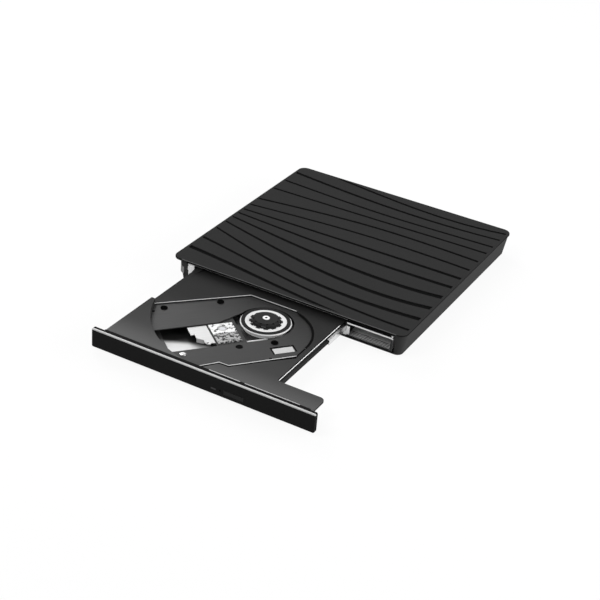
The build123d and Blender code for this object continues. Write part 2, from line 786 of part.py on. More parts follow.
    # holes in the front wall for the button's stem, the lamp and the release wire
    block(
        drive_x + button_x - 1.7, drive_x + button_x + 1.7, tray_front - 1,
        tray_front + front_wall + 1, lamp_z - 0.7, lamp_z + 0.7, Mode.SUBTRACT,
    )
    block(
        drive_x + lamp_x - lamp_width / 2, drive_x + lamp_x + lamp_width / 2, tray_front - 1,
        tray_front + front_wall + 1, lamp_z - lamp_height / 2, lamp_z + lamp_height / 2,
        Mode.SUBTRACT,
    )
    bar(
        drive_x + release_x, tray_front - 1, tray_front + front_wall + 1, lamp_z,
        release_radius + 0.2, Mode.SUBTRACT,
    )
    for peg_x in peg_spots:
        bar(peg_x, tray_front - 1, tray_front + front_wall + 1, peg_z, peg_radius + 0.05, Mode.SUBTRACT)
    # housing of the push-out plunger
    block(
        plunger_x - 2.4, plunger_x + 2.4, tray_back - 9, tray_back - tray_wall,
        z_skirt, z_tray_under,
    )
    bar(
        plunger_x, tray_back - 10, tray_back + 1, plunger_z, plunger_radius + screw_gap,
        Mode.SUBTRACT,
    )
save(tray, "tray")

# Front panel with its button, lamp and release hole
bezel_z = (z_bezel + z_bezel_top) / 2
with BuildPart() as bezel:
    with BuildSketch(Plane.XZ.offset(-face_y)):
        with Locations((drive_x, bezel_z)):
            RectangleRounded(bezel_width, z_bezel_top - z_bezel, bezel_corner)
    extrude(amount=-bezel_thickness)
    fillet(bezel.faces().sort_by(Axis.Y)[0].edges(), radius=bezel_edge)
    block(
        tray_left + 0.5, right_guide - 0.6, tray_front, tray_front + bezel_lip,
        z_tray_top + 0.05, z_bezel_top,
    )
    block(
        right_guide - 0.6, wing_right, tray_front, tray_front + wing_lip,
        z_tray_top + 0.05, z_bezel_top,
    )
    for peg_x in peg_spots:
        bar(peg_x, tray_front - 0.5, tray_front + front_wall - 0.1, peg_z, peg_radius)
    block(
        drive_x + button_x - button_width / 2 - button_gap,
        drive_x + button_x + button_width / 2 + button_gap, face_y - 1, tray_front + 1,
        lamp_z - button_height / 2 - button_gap, lamp_z + button_height / 2 + button_gap,
        Mode.SUBTRACT,
    )
    block(
        drive_x + button_x - button_width / 2 - 1.1, drive_x + button_x + button_width / 2 + 1.1,
        face_y + 1.0, tray_front + 1, lamp_z - button_height / 2 - 0.6,
        lamp_z + button_height / 2 + 0.6, Mode.SUBTRACT,
    )
    block(
        drive_x + lamp_x - lamp_width / 2, drive_x + lamp_x + lamp_width / 2, face_y - 1,
        tray_front + 1, lamp_z - lamp_height / 2, lamp_z + lamp_height / 2, Mode.SUBTRACT,
    )
    bar(drive_x + release_x, face_y - 1, tray_front + 1, lamp_z, release_radius, Mode.SUBTRACT)
save(bezel, "bezel")

with BuildPart() as led_lens:
    block(
        drive_x + lamp_x - lamp_width / 2 + 0.05, drive_x + lamp_x + lamp_width / 2 - 0.05, face_y,
        tray_front + front_wall, lamp_z - lamp_height / 2 + 0.05, lamp_z + lamp_height / 2 - 0.05,
    )
    chamfer(led_lens.edges().filter_by(Axis.X).group_by(Axis.Y)[-1].sort_by(Axis.Z)[-1], length=0.4)
save(led_lens, "led_lens")

flange_front = face_y + 1.05
with BuildPart() as eject_button:
    block(
        drive_x + button_x - button_width / 2, drive_x + button_x + button_width / 2,
        face_y - button_proud, flange_front, lamp_z - button_height / 2, lamp_z + button_height / 2,
    )
    fillet(eject_button.faces().sort_by(Axis.Y)[0].edges(), radius=0.25)
    block(
        drive_x + button_x - button_width / 2 - 0.8, drive_x + button_x + button_width / 2 + 0.8,
        flange_front, flange_front + 0.5, lamp_z - button_height / 2 - 0.35,
        lamp_z + button_height / 2 + 0.35,
    )
    block(
        drive_x + button_x - 1.5, drive_x + button_x + 1.5, flange_front + 0.5,
        tray_front + front_wall + 0.2, lamp_z - 0.5, lamp_z + 0.5,
    )
save(eject_button, "eject_button")

# Small board behind the front panel, with the switch that the button works
switch_board_z = z_tray_under - 0.8
switch_front = tray_front + front_wall + 0.2 + button_travel + 0.15
with BuildPart() as switch_board:
    block(
        drive_x + lamp_x - 3, drive_x + button_x + 11, tray_front + front_wall + 0.2,
        tray_front + front_wall + 7.5, switch_board_z, z_tray_under,
    )
    for spot_x in (drive_x + lamp_x - 1.5, drive_x + button_x + 9.5):
        post(
            spot_x, tray_front + front_wall + 6, switch_board_z, z_tray_under, 0.6, Mode.SUBTRACT
        )
save(switch_board, "switch_board")

with BuildPart() as eject_switch:
    block(
        drive_x + button_x - 3, drive_x + button_x + 3, switch_front + 0.9, switch_front + 4.4,
        z_skirt + 0.1, switch_board_z,
    )
    block(
        drive_x + button_x - 1.2, drive_x + button_x + 1.2, switch_front, switch_front + 0.9,
        lamp_z - 0.4, lamp_z + 0.6,
    )
save(eject_switch, "eject_switch")

# Black cover plate over the mechanism, with the window for the sled and the hole for the spindle
plate_hole = (-21.1, -19.7)
plate_hole_radius = 2.0
crescent_spot = (-2.2, -20.4)
with BuildPart() as mechanism_cover:
    extrude(cover_face.sketch, amount=cover_sheet)
    post(*crescent_spot, z_cover - 0.7, z_cover, 2.2, frame=mech)
    block(
        -slot_length, 0, -slot_right, slot_left, z_cover - 1, z_cover_top + 1, Mode.SUBTRACT, mech
    )
    block(
        -5.6, 5.9, -30.6, -25.1, z_cover - 1, z_cover_top + 1, Mode.SUBTRACT, mech
    )
    post(0, 0, z_cover - 1, z_cover_top + 1, cover_gap_round, Mode.SUBTRACT, mech)
    with BuildSketch(mech.offset(z_cover)):
        with BuildLine():
            Polyline((-26.0, slot_left - 0.5), (-9.5, 11.9), (-9.5, 0.0), close=True)
        make_face()
    extrude(amount=cover_sheet, mode=Mode.SUBTRACT)
    for u, v in cover_screw_spots:
        post(u, v, z_cover - 1, z_cover_top + 1, 0.8 + screw_gap, Mode.SUBTRACT, mech)
    post(*crescent_spot, z_cover - 1, z_cover_top + 1, 0.8 + screw_gap, Mode.SUBTRACT, mech)
    post(*plate_hole, z_cover - 1, z_cover_top + 1, plate_hole_radius, Mode.SUBTRACT, mech)
save(mechanism_cover, "mechanism_cover")

screw_head = 1.9
head_rise = 0.45
with BuildPart() as cover_screws:
    for u, v in cover_screw_spots:
        post(u, v, z_tray_under + 0.05, z_cover_top, 0.8, frame=mech)
    for u, v in cover_screw_spots[:2]:
        post(u, v, z_cover_top, z_cover_top + head_rise, screw_head, frame=mech)
        for turn in (0, 90):
            with Locations(mech):
                with Locations(Location((u, v, z_cover_top + head_rise), (0, 0, turn))):
                    Box(1.9, 0.4, 0.4, mode=Mode.SUBTRACT)
    post(*crescent_spot, z_cover_top, z_cover_top + head_rise, screw_head, frame=mech)
    post(*crescent_spot, z_cover - 0.6, z_cover_top, 0.8, frame=mech)
save(cover_screws, "cover_screws")

# Thin shields under the tray and under the wing, with their screws
shield_screw_head = 1.5
with BuildPart() as tray_shield:
    block(
        tray_under_left, tray_right - tray_step, tray_front + 0.4, tray_back - 0.2, z_shield,
        z_skirt,
    )
    for spot_x, spot_y in shield_screw_spots:
        post(spot_x, spot_y, z_shield - 1, z_skirt + 1, shield_screw_head + 0.05, Mode.SUBTRACT)
    for u, v in damper_spots:
        post(u, v, z_shield - 1, z_skirt + 1, 2.3, Mode.SUBTRACT, mech)
save(tray_shield, "tray_shield")

with BuildPart() as wing_shield:
    block(wing_box_left, wing_box_right, tray_front + 0.4, wing_back, z_shield, z_skirt)
    block(
        latch_post_x - post_radius - 0.5, latch_post_x + post_radius + 0.5,
        tray_front + latch_post_set - post_radius - 0.5, wing_back + 1, z_shield - 1, z_skirt + 1,
        Mode.SUBTRACT,
    )
save(wing_shield, "wing_shield")

with BuildPart() as shield_screws:
    for spot_x, spot_y in shield_screw_spots:
        post(spot_x, spot_y, z_shield, z_skirt, shield_screw_head)
        post(spot_x, spot_y, z_skirt, z_tray_under, 0.8)
save(shield_screws, "shield_screws")

# Main board of the tray, hung under its floor, with two chips below it
with BuildPart() as main_board:
    block(
        main_board_left, main_board_right, main_board_front, main_board_back, main_board_z,
        main_board_z + board_sheet,
    )
    for spot_x, spot_y in main_board_spots:
        post(spot_x, spot_y, main_board_z - 1, main_board_z + board_sheet + 1, 0.6, Mode.SUBTRACT)
save(main_board, "main_board")

with BuildPart() as servo_chip:
    block(
        main_board_left + 17.5, main_board_left + 29.5, main_board_front + 8, main_board_front + 20,
        main_board_z - 1.0, main_board_z,
    )
save(servo_chip, "servo_chip")

with BuildPart() as motor_driver_chip:
    block(
        main_board_right - 20.4, main_board_right - 12.4, main_board_front + 10,
        main_board_front + 16, main_board_z - 0.9, main_board_z,
    )
save(motor_driver_chip, "motor_driver_chip")

# Latch in the wing box: pin, lever turned free in this pose, and its magnet
lever_plane = Plane(
    origin=(latch_pivot_x, latch_pivot_y, 0),
    x_dir=(cos(radians(latch_swing)), -sin(radians(latch_swing)), 0),
    z_dir=(0, 0, 1),
)
lever_z = z_skirt + 0.4
lever_sheet = 1.2
with BuildPart() as latch_pivot:
    post(latch_pivot_x, latch_pivot_y, z_skirt, z_recess - wing_sheet, latch_pin_radius)
    post(latch_pivot_x, latch_pivot_y, z_skirt, lever_z - 0.1, 1.4)
save(latch_pivot, "latch_pivot")

with BuildPart() as latch_lever:
    with BuildSketch(lever_plane.offset(lever_z)):
        with BuildLine():
            Polyline(
                (-1.2, 0.0), (1.2, 0.0), (0.9, 10.5), (-3.2, 10.5), (-3.2, 9.9), (-1.0, 9.9),
                close=True,
            )
        make_face()
        Circle(1.7)
    extrude(amount=lever_sheet)
    post(0, 0, lever_z - 1, lever_z + 3, latch_pin_radius + 0.04, Mode.SUBTRACT, lever_plane)
save(latch_lever, "latch_lever")

with BuildPart() as latch_solenoid:
    block(
        wing_box_right - 6.0, wing_box_right - 2.2, tray_front + 7.6, tray_front + 13.6,
        z_skirt, z_recess - wing_sheet - 0.4,
    )
    bar(wing_box_right - 4.1, tray_front + 5.4, tray_front + 7.6, lever_z + 0.9, 0.7)
save(latch_solenoid, "latch_solenoid")

with BuildPart() as ejector_plunger:
    bar(plunger_x, tray_back - 10.8, tray_back + plunger_tip, plunger_z, plunger_radius)
    bar(plunger_x, tray_back - 10.8, tray_back - 9.2, plunger_z, plunger_collar)
    fillet(
        ejector_plunger.faces().sort_by(Axis.Y)[-1].edges(), radius=plunger_radius * 0.5
    )
save(ejector_plunger, "ejector_plunger")

# Steel frame of the mechanism on three rubber dampers
rod_left_out = -66.4
rod_right_out = -57.5
rod_in = -6.0
holder_length = 2.2
with BuildPart() as traverse_frame:
    with BuildSketch(mech.offset(frame_z)):
        with BuildLine():
            Polyline(
                (-67.0, 16.9), (18.0, 16.9), (18.0, -20.0), (8.0, -31.5), (-50.0, -31.5),
                (-58.0, -23.0), (-60.5, -18.0), (-66.5, 6.0),
                close=True,
            )
        make_face()
        with Locations(damper_spots[0], damper_spots[1], damper_spots[2]):
            Circle(3.0)
        with Locations((damper_spots[2][0], -34.5)):
            Rectangle(6.0, 10.0)
        with Locations((damper_spots[1][0] - 2.5, damper_spots[1][1])):
            Rectangle(5.0, 6.0)
        with Locations((-35.5, -3.2)):
            Rectangle(40.0, 31.0, mode=Mode.SUBTRACT)
        Circle(10.0, mode=Mode.SUBTRACT)
        with Locations(damper_spots[0], damper_spots[1], damper_spots[2]):
            Circle(1.65, mode=Mode.SUBTRACT)
    extrude(amount=frame_sheet)
save(traverse_frame, "traverse_frame")

with BuildPart() as damper_bushes:
    for u, v in damper_spots:
        post(u, v, damper_z, frame_z, 2.4, frame=mech)
        post(u, v, frame_z, frame_z + frame_sheet, 1.6, frame=mech)
        post(u, v, frame_z + frame_sheet, damper_top, 2.4, frame=mech)
        post(u, v, damper_z, damper_top, 0.85, Mode.SUBTRACT, frame=mech)
save(damper_bushes, "damper_bushes")

with BuildPart() as damper_screws:
    for u, v in damper_spots:
        post(u, v, z_shield, damper_z, 1.7, frame=mech)
        post(u, v, damper_z, z_tray_under - 0.4, 0.8, frame=mech)
save(damper_screws, "damper_screws")

# Steel guide rods with their holders
rod_low = frame_z + frame_sheet
with BuildPart() as guide_rods:
    sled_bar(rod_left_out, rod_in - 2, left_rod, rod_z, rod_radius)
    sled_bar(rod_right_out, rod_in, -right_rod, rod_z, rod_radius)
save(guide_rods, "guide_rods")

with BuildPart() as rod_holders:
    for out, inner, v in ((rod_left_out, rod_in - 2, left_rod), (rod_right_out, rod_in, -right_rod)):
        block(out - 0.3, out + holder_length, v - 1.7, v + 1.7, rod_low, rod_z + 0.6, frame=mech)
        block(inner - holder_length, inner + 0.3, v - 1.7, v + 1.7, rod_low, rod_z + 0.6, frame=mech)
    for out, inner, v in ((rod_left_out, rod_in - 2, left_rod), (rod_right_out, rod_in, -right_rod)):
        sled_bar(out, inner, v, rod_z, rod_radius, Mode.SUBTRACT)
        block(out, inner, v - 0.75, v + 0.75, rod_z, rod_z + 1, Mode.SUBTRACT, mech)
save(rod_holders, "rod_holders")

# Feed motor, lead screw and its end bearing
motor_start = -5.6
motor_end = 5.9
motor_half = 2.7
screw_end = -50.0
with BuildPart() as feed_motor:
    block(
        motor_start, motor_end, -screw_line - motor_half, -screw_line + motor_half, rod_low,
        z_cover - 0.1, frame=mech,
    )
    chamfer(
        feed_motor.edges().group_by(Axis.Z)[-1].group_by(Edge.length)[-1],
        length=0.6,
    )
    block(screw_end - 1.4, screw_end + 1.2, -screw_line - 1.5, -screw_line + 1.5, rod_low, rod_z + 1.2, frame=mech)
    sled_bar(screw_end - 0.1, screw_end + 2, -screw_line, rod_z, 0.65, Mode.SUBTRACT)
    sled_bar(motor_start - 1, motor_start + 1.2, -screw_line, rod_z, 0.65, Mode.SUBTRACT)
save(feed_motor, "feed_motor")

screw_pitch = 3.0
thread_depth = 0.25
groove_width = 0.9
with BuildPart() as lead_screw:
    sled_bar(screw_end + 1.5, motor_start - 0.4, -screw_line, rod_z, screw_radius)
    thread_count = int((motor_start - screw_end - 4) / screw_pitch)
    for turn in range(thread_count):
        u = screw_end + 3.2 + turn * screw_pitch
        sled_bar(u, u + groove_width, -screw_line, rod_z, screw_radius + 1, Mode.SUBTRACT)
        sled_bar(
            u - 0.1, u + groove_width + 0.1, -screw_line, rod_z, screw_radius - thread_depth
        )
    sled_bar(screw_end, screw_end + 1.5, -screw_line, rod_z, 0.6)
    sled_bar(motor_start - 0.4, motor_start + 1.1, -screw_line, rod_z, 0.6)
save(lead_screw, "lead_screw")

# Spindle motor: bracket with sleeve, stator, and the turning parts
bracket_z = rod_low
bracket_sheet = 0.5
with BuildPart() as motor_bracket:
    post(0, 0, bracket_z, bracket_z + bracket_sheet, 13.0, frame=mech)
    post(0, 0, frame_z, bracket_z + 2.7, 2.4, frame=mech)
    post(0, 0, frame_z + 0.4, bracket_z + 4, shaft_radius + running_gap, Mode.SUBTRACT, mech)
save(motor_bracket, "motor_bracket")

stator_low = bracket_z + bracket_sheet
with BuildPart() as motor_stator:
    post(0, 0, stator_low, stator_low + 1.7, 5.6, frame=mech)
    for pole in range(9):
        angle = radians(pole * 40.0)
        with Locations(mech):
            with Locations(
                Location((7.8 * cos(angle), 7.8 * sin(angle), stator_low + 0.85), (0, 0, pole * 40.0))
            ):
                Box(6.0, 1.9, 1.7)
                with Locations((2.4, 0, 0)):
                    Box(0.9, 5.2, 1.7)
    post(0, 0, stator_low - 1, stator_low + 4, 2.4, Mode.SUBTRACT, mech)
save(motor_stator, "motor_stator")

cup_low = z_runner - 0.8
flange_low = z_seat - 0.9
flange_top = z_seat - 0.4
ring_outer = rubber_inner - 0.05
ring_inner = 8.3
hub_top = z_seat + hub_height - 0.1
shaft_cap = 1.4
with BuildPart() as turntable:
    post(0, 0, cup_low, flange_low, rotor_radius, frame=mech)
    post(0, 0, cup_low, flange_low, rotor_radius - rotor_wall, Mode.SUBTRACT, mech)
    post(0, 0, flange_low, flange_top, flange_radius, frame=mech)
    chamfer(turntable.edges().group_by(Axis.Z)[-1].sort_by(SortBy.RADIUS)[-1], length=flange_bevel)
    post(0, 0, flange_top, z_seat - 0.1, ring_outer, frame=mech)
    post(0, 0, flange_top, z_seat, ring_inner, Mode.SUBTRACT, mech)
    post(0, 0, frame_z + 0.5, flange_low, shaft_radius, frame=mech)
    post(0, 0, flange_top, hub_top, shaft_radius, frame=mech)
    post(0, 0, hub_top, hub_top + 0.1, shaft_cap, frame=mech)
    post(0, 0, hub_top - 0.1, hub_top + 0.2, 0.5, Mode.SUBTRACT, mech)
save(turntable, "turntable")

with BuildPart() as rubber_ring:
    post(0, 0, flange_top, z_seat, rubber_outer, frame=mech)
    post(0, 0, flange_top, z_seat, rubber_inner, Mode.SUBTRACT, mech)
save(rubber_ring, "rubber_ring")

# Hub that centres the disc, with three claws
hub_base = ring_inner - 0.1
hub_cone = 6.1
hub_shoulder = z_seat + 1.1
claw_low = z_seat + 0.25
claw_high = z_seat + 0.85
claw_start = 4.6
notch_count = 12
with BuildPart() as disc_hub:
    post(0, 0, flange_top, z_seat - 0.1, hub_base, frame=mech)
    post(0, 0, z_seat - 0.1, hub_shoulder, hub_radius, frame=mech)
    with Locations(mech):
        with Locations((0, 0, (hub_shoulder + hub_top) / 2)):
            Cone(hub_radius, hub_cone, hub_top - hub_shoulder)
    for notch in range(notch_count):
        angle = notch * 360.0 / notch_count + 15
        with Locations(mech):
            with Locations(
                Location(
                    (hub_radius * cos(radians(angle)), hub_radius * sin(radians(angle)), hub_top),
                    (0, 0, angle),
                )
            ):
                Box(2.6, 1.3, 1.4, mode=Mode.SUBTRACT)
    for notch in range(notch_count):
        angle = notch * 360.0 / notch_count
        with Locations(mech):
            with Locations(
                Location(
                    (hub_base * cos(radians(angle)), hub_base * sin(radians(angle)), flange_top),
                    (0, 0, angle),
                )
            ):
                Box(2 * (hub_base - hub_radius), 1.5, 1.0, mode=Mode.SUBTRACT)
    for claw in range(3):
        angle = claw * 120.0
        with Locations(mech):
            with Locations(
                Location(
                    (
                        (claw_start + 9) / 2 * cos(radians(angle)),
                        (claw_start + 9) / 2 * sin(radians(angle)),
                        (claw_low + claw_high) / 2,
                    ),
                    (0, 0, angle),
                )
            ):
                Box(9 - claw_start, 2.4, claw_high - claw_low, mode=Mode.SUBTRACT)
    post(0, 0, flange_top, hub_top + 1, shaft_radius, Mode.SUBTRACT, mech)
save(disc_hub, "disc_hub")

with BuildPart() as chuck_claws:
    for claw in range(3):
        angle = claw * 120.0
        with Locations(mech):
            with Locations(
                Location(
                    (
                        (claw_start + hub_radius - 0.1) / 2 * cos(radians(angle)),
                        (claw_start + hub_radius - 0.1) / 2 * sin(radians(angle)),
                        (claw_low + claw_high) / 2,
                    ),
                    (0, 0, angle),
                )
            ):
                Box(hub_radius - 0.1 - claw_start, 2.3, claw_high - claw_low)
save(chuck_claws, "chuck_claws")

# Sled with its lens, running on the two rods
sled_low = rod_low + 0.15
sled_top = z_cover - 0.2
sled_shelf = z_tray_under + 0.05
holder_low = sled_top - 1.1
holder_radius = 2.4
with BuildPart() as sled_body:
    block(lens_u - 7.4, lens_u + 8.5, -18, 12.8, sled_low, sled_top, frame=mech)
    block(lens_u - 12, lens_u - 7.4, -8, 4, sled_low, sled_shelf, frame=mech)
    block(lens_u - 7.4, lens_u - 3, 12.8, left_rod + 2.2, sled_low, sled_top, frame=mech)
    block(lens_u + 4, lens_u + 8.5, 12.8, left_rod + 2.2, sled_low, sled_top, frame=mech)
    block(lens_u + 2, lens_u + 12, -24, -18, sled_low, sled_top, frame=mech)
    sled_bar(lens_u - 14, lens_u + 14, left_rod, rod_z, rod_radius + running_gap, Mode.SUBTRACT)
    sled_bar(lens_u - 14, lens_u + 14, -right_rod, rod_z, rod_radius + running_gap, Mode.SUBTRACT)
    post(lens_u, 0, holder_low - 0.5, sled_top + 1, holder_radius + 0.3, Mode.SUBTRACT, mech)
save(sled_body, "sled_body")

cover_half = 6.5
with BuildPart() as actuator_cover:
    block(lens_u - cover_half, lens_u + cover_half, -14, 4.5, sled_top, sled_top + 0.45, frame=mech)
    post(lens_u, 0, sled_top - 1, sled_top + 1, 2.7, Mode.SUBTRACT, mech)
    for du, v, size_u, size_v in (
        (-4.8, 2.6, 1.0, 1.0), (0.2, 3.4, 1.8, 0.5), (4.6, 2.8, 1.0, 1.2),
        (-4.6, -1.6, 0.8, 1.4), (4.7, -1.4, 0.8, 1.4), (-4.4, -5.2, 1.4, 0.8),
        (0.4, -4.8, 2.4, 0.7), (4.4, -5.6, 1.4, 0.8), (-4.8, -8.8, 0.9, 1.6),
        (-1.4, -8.0, 1.6, 0.8), (2.0, -8.6, 1.2, 1.4), (4.9, -9.2, 0.7, 1.2),
        (-2.6, -11.4, 1.8, 0.8), (1.6, -11.6, 1.4, 0.7),
    ):
        block(
            lens_u + du - size_u / 2, lens_u + du + size_u / 2, v - size_v / 2, v + size_v / 2,
            sled_top - 1, sled_top + 1, Mode.SUBTRACT, mech,
        )
    for tooth in range(5):
        block(
            lens_u - 5.4 + tooth * 2.6, lens_u - 4.2 + tooth * 2.6, -15, -13.2, sled_top - 1,
            sled_top + 1, Mode.SUBTRACT, mech,
        )
    for tooth in range(6):
        block(
            lens_u + 5.7, lens_u + 7, -12.4 + tooth * 2.8, -11.2 + tooth * 2.8, sled_top - 1,
            sled_top + 1, Mode.SUBTRACT, mech,
        )
save(actuator_cover, "actuator_cover")

with BuildPart() as sled_plate:
    with BuildSketch(mech.offset(sled_shelf)):
        with BuildLine():
            Polyline(
                (lens_u - 7.5, 5.0), (lens_u - 7.5, -12.4), (lens_u - 9.6, -11.8),
                (lens_u - 10.2, -12.9), (lens_u - 11.2, -12.9), (lens_u - 12.3, -11.8),
                (lens_u - 12.8, -10.5), (lens_u - 12.5, -8.3),
                (lens_u - 15.8, -5.9), (lens_u - 15.7, -2.0), (lens_u - 17.8, -2.5),
                (lens_u - 17.7, 5.0), close=True,
            )
        make_face()
        with Locations((lens_u - 11.3, -11.4)):
            Circle(0.65, mode=Mode.SUBTRACT)
    extrude(amount=0.5)
save(sled_plate, "sled_plate")

with BuildPart() as laser_block:
    with BuildSketch(mech.offset(sled_low)):
        with BuildLine():
            Polyline(
                (lens_u - 15.8, -5.9), (lens_u - 12.5, -8.3), (lens_u - 12.1, -7.7),
                (lens_u - 12.1, -3.6), (lens_u - 14.2, -3.3), close=True,
            )
        make_face()
    extrude(amount=sled_shelf - sled_low)
save(laser_block, "laser_block")

with BuildPart() as thread_follower:
    block(
        lens_u + 8.5, lens_u + 12, -screw_line + screw_radius + 0.05, -24, rod_z - 1.1,
        sled_top - 0.1, frame=mech,
    )
save(thread_follower, "thread_follower")

lens_rise = 0.45
lens_radius = 1.85
lens_curve = (lens_radius**2 + lens_rise**2) / (2 * lens_rise)
with BuildPart() as lens_holder:
    post(lens_u, 0, holder_low + 0.6, sled_top + 0.35, holder_radius, frame=mech)
    post(lens_u, 0, holder_low, holder_low + 0.6, holder_radius - 0.3, frame=mech)
    post(lens_u, 0, sled_top - 0.1, sled_top + 1, 1.9, Mode.SUBTRACT, mech)
save(lens_holder, "lens_holder")

with BuildPart() as objective_lens:
    with Locations(mech):
        with Locations((lens_u, 0, sled_top - 0.1 + lens_rise - lens_curve)):
            Sphere(lens_curve)
    block(lens_u - 5, lens_u + 5, -5, 5, sled_top - 9, sled_top - 0.1, Mode.SUBTRACT, mech)
save(objective_lens, "objective_lens")

# Fixed board at the back of the drive, its socket and the flat cable to the tray
drive_board_z = z_chassis + 1.1
drive_board_back = drive_back - 6.5
drive_board_front = drive_board_back - 23.5
flex_low = z_chassis + 0.02
flex_sheet = 0.12
flex_high = z_shield - 0.04 - flex_sheet
flex_fold_y = front_y + 6.5
flex_reach = 23.5
flex_end_y = flex_fold_y + flex_reach
flex_cross_back = drive_back - 10
flex_cross_front = flex_cross_back - flex_width
with BuildPart() as drive_board:
    block(
        right_guide + right_guide_web + 2.2, wall_right - 1.4, drive_board_front,
        drive_board_back, drive_board_z, drive_board_z + 0.8,
    )
    block(
        right_guide + right_guide_web + 3.2, right_guide + right_guide_web + 7.2,
        flex_cross_front + 0.5, flex_cross_back - 0.5, flex_low + flex_sheet, drive_board_z,
    )
    for spot_x, spot_y in (
        (wall_right - 4, drive_board_front + 2.5), (wall_right - 4, drive_board_back - 3),
    ):
        post(spot_x, spot_y, z_chassis, drive_board_z, 1.5)
save(drive_board, "drive_board")

with BuildPart() as sata_socket:
    block(
        sata_left + 0.15, sata_right - 0.15, drive_back - 6.5, drive_back + 0.6, sata_low + 0.1,
        sata_high - 0.1,
    )
    block(
        sata_left + 1.2, sata_right - 1.2, drive_back - 5, drive_back + 1, sata_low + 1.1,
        sata_high - 1.1, Mode.SUBTRACT,
    )
save(sata_socket, "sata_socket")

with BuildPart() as sata_plug:
    block(
        sata_left + 0.15, sata_right - 0.15, drive_back + 0.6, board_front - 0.1, sata_low + 0.1,
        sata_high - 0.1,
    )
    block(
        sata_left + 0.15, sata_right - 0.15, board_front - 0.1, board_front + 4, board_z + board_sheet,
        sata_high - 0.1,
    )
    block(
        sata_left + 1.3, sata_right - 1.3, drive_back - 4.6, drive_back + 0.6, sata_low + 1.2,
        sata_high - 1.2,
    )
save(sata_plug, "sata_plug")

with BuildPart() as flex_cable:
    block(
        flex_left, flex_right, flex_fold_y, flex_cross_back, flex_low, flex_low + flex_sheet
    )
    block(
        flex_right, right_guide + right_guide_web + 6.8, flex_cross_front, flex_cross_back, flex_low,
        flex_low + flex_sheet,
    )
    block(flex_left, flex_right, flex_fold_y, flex_end_y, flex_high, flex_high + flex_sheet)
    block(flex_left, flex_right, flex_fold_y, flex_fold_y + flex_sheet, flex_low, flex_high)
save(flex_cable, "flex_cable")

# Bridge board at the back of the case
with BuildPart() as bridge_board:
    block(board_left, board_right, board_front, board_back, board_z, board_z + board_sheet)
    for post_x, post_y in board_posts:
        post(post_x, post_y, board_z - 1, board_z + 2, 0.8 + screw_gap, Mode.SUBTRACT)
save(bridge_board, "bridge_board")

with BuildPart() as board_screws:
    for post_x, post_y in board_posts:
        post(post_x, post_y, board_z + board_sheet, board_z + board_sheet + 0.8, 1.5)
        post(post_x, post_y, z_floor + 0.9, board_z + board_sheet, 0.8)
save(board_screws, "board_screws")

usb_back = back_y - 1.8
usb_z = board_z + board_sheet + usb_height / 2
with BuildPart() as usb_socket:
    with BuildSketch(Plane.XZ.offset(-usb_back)):
        with Locations((usb_x, usb_z)):
            SlotOverall(usb_width, usb_height)
    extrude(amount=usb_length)
    with BuildSketch(Plane.XZ.offset(-usb_back)):
        with Locations((usb_x, usb_z)):
            SlotOverall(usb_width - 2 * usb_wall, usb_height - 2 * usb_wall)
    extrude(amount=usb_length - 0.6, mode=Mode.SUBTRACT)
save(usb_socket, "usb_socket")

with BuildPart() as usb_tongue:
    block(
        usb_x - 3.35, usb_x + 3.35, usb_back - usb_length + 0.6, usb_back - 1.0, usb_z - 0.35,
        usb_z + 0.35,
    )
    block(
        usb_x - 3.7, usb_x + 3.7, usb_back - usb_length + 0.6, usb_back - usb_length + 1.4,
        usb_z - 0.9, usb_z + 0.9,
    )
save(usb_tongue, "usb_tongue")

with BuildPart() as bridge_chip:
    block(
        board_right - 19.0, board_right - 12.0, board_front + 6.0, board_front + 13.0,
        board_z + board_sheet, board_z + board_sheet + 0.9,
    )
save(bridge_chip, "bridge_chip")

# Lid screws into small ears of the chassis
with BuildPart() as lid_screws:
    for spot_x in lid_screw_xs:
        post(spot_x, lid_screw_y, z_lid_top, z_lid_top + 0.2, 1.3)
        post(spot_x, lid_screw_y, z_lid - 0.7, z_lid_top, lid_screw_shank)
save(lid_screws, "lid_screws")
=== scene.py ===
# %% [markdown]
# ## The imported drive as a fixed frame
# A slim disc drive sits in a flat black case, with its tray standing open. The solids come from
# the CAD model, already in metres and in their places. They are loaded once and never moved, so
# everything added here is placed against their own boxes.

# %% Load the frame and keep its size
import math

import bmesh
import bpy
from mathutils import Matrix, Vector


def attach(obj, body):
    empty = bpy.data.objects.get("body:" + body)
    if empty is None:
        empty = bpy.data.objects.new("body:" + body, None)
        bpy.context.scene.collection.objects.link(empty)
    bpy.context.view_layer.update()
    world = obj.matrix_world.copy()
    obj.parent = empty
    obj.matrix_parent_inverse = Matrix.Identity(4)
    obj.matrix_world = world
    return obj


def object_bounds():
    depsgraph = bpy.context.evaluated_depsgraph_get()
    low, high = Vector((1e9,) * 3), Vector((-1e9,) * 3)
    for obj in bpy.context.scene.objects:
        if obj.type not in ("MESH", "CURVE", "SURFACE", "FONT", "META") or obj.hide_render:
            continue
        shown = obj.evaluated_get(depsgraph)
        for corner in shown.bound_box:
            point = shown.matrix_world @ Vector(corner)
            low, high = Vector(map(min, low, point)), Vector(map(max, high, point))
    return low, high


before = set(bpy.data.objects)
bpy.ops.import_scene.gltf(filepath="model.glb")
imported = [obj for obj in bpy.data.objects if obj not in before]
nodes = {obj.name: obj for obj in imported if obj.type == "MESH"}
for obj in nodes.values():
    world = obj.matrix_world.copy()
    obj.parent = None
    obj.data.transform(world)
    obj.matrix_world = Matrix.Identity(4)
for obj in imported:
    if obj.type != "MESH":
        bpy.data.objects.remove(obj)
cad_low, cad_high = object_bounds()
MM = 0.001

# %% [markdown]
# ## Small helpers for shader trees
# Every finish is a small tree of nodes. Four helpers keep the cells short: one adds a node and sets
# its values, one makes an empty group, one starts a material with a Principled shader, and one puts
# a group into a tree. Nodes could be wired by hand in the editor, but a script can be read again.

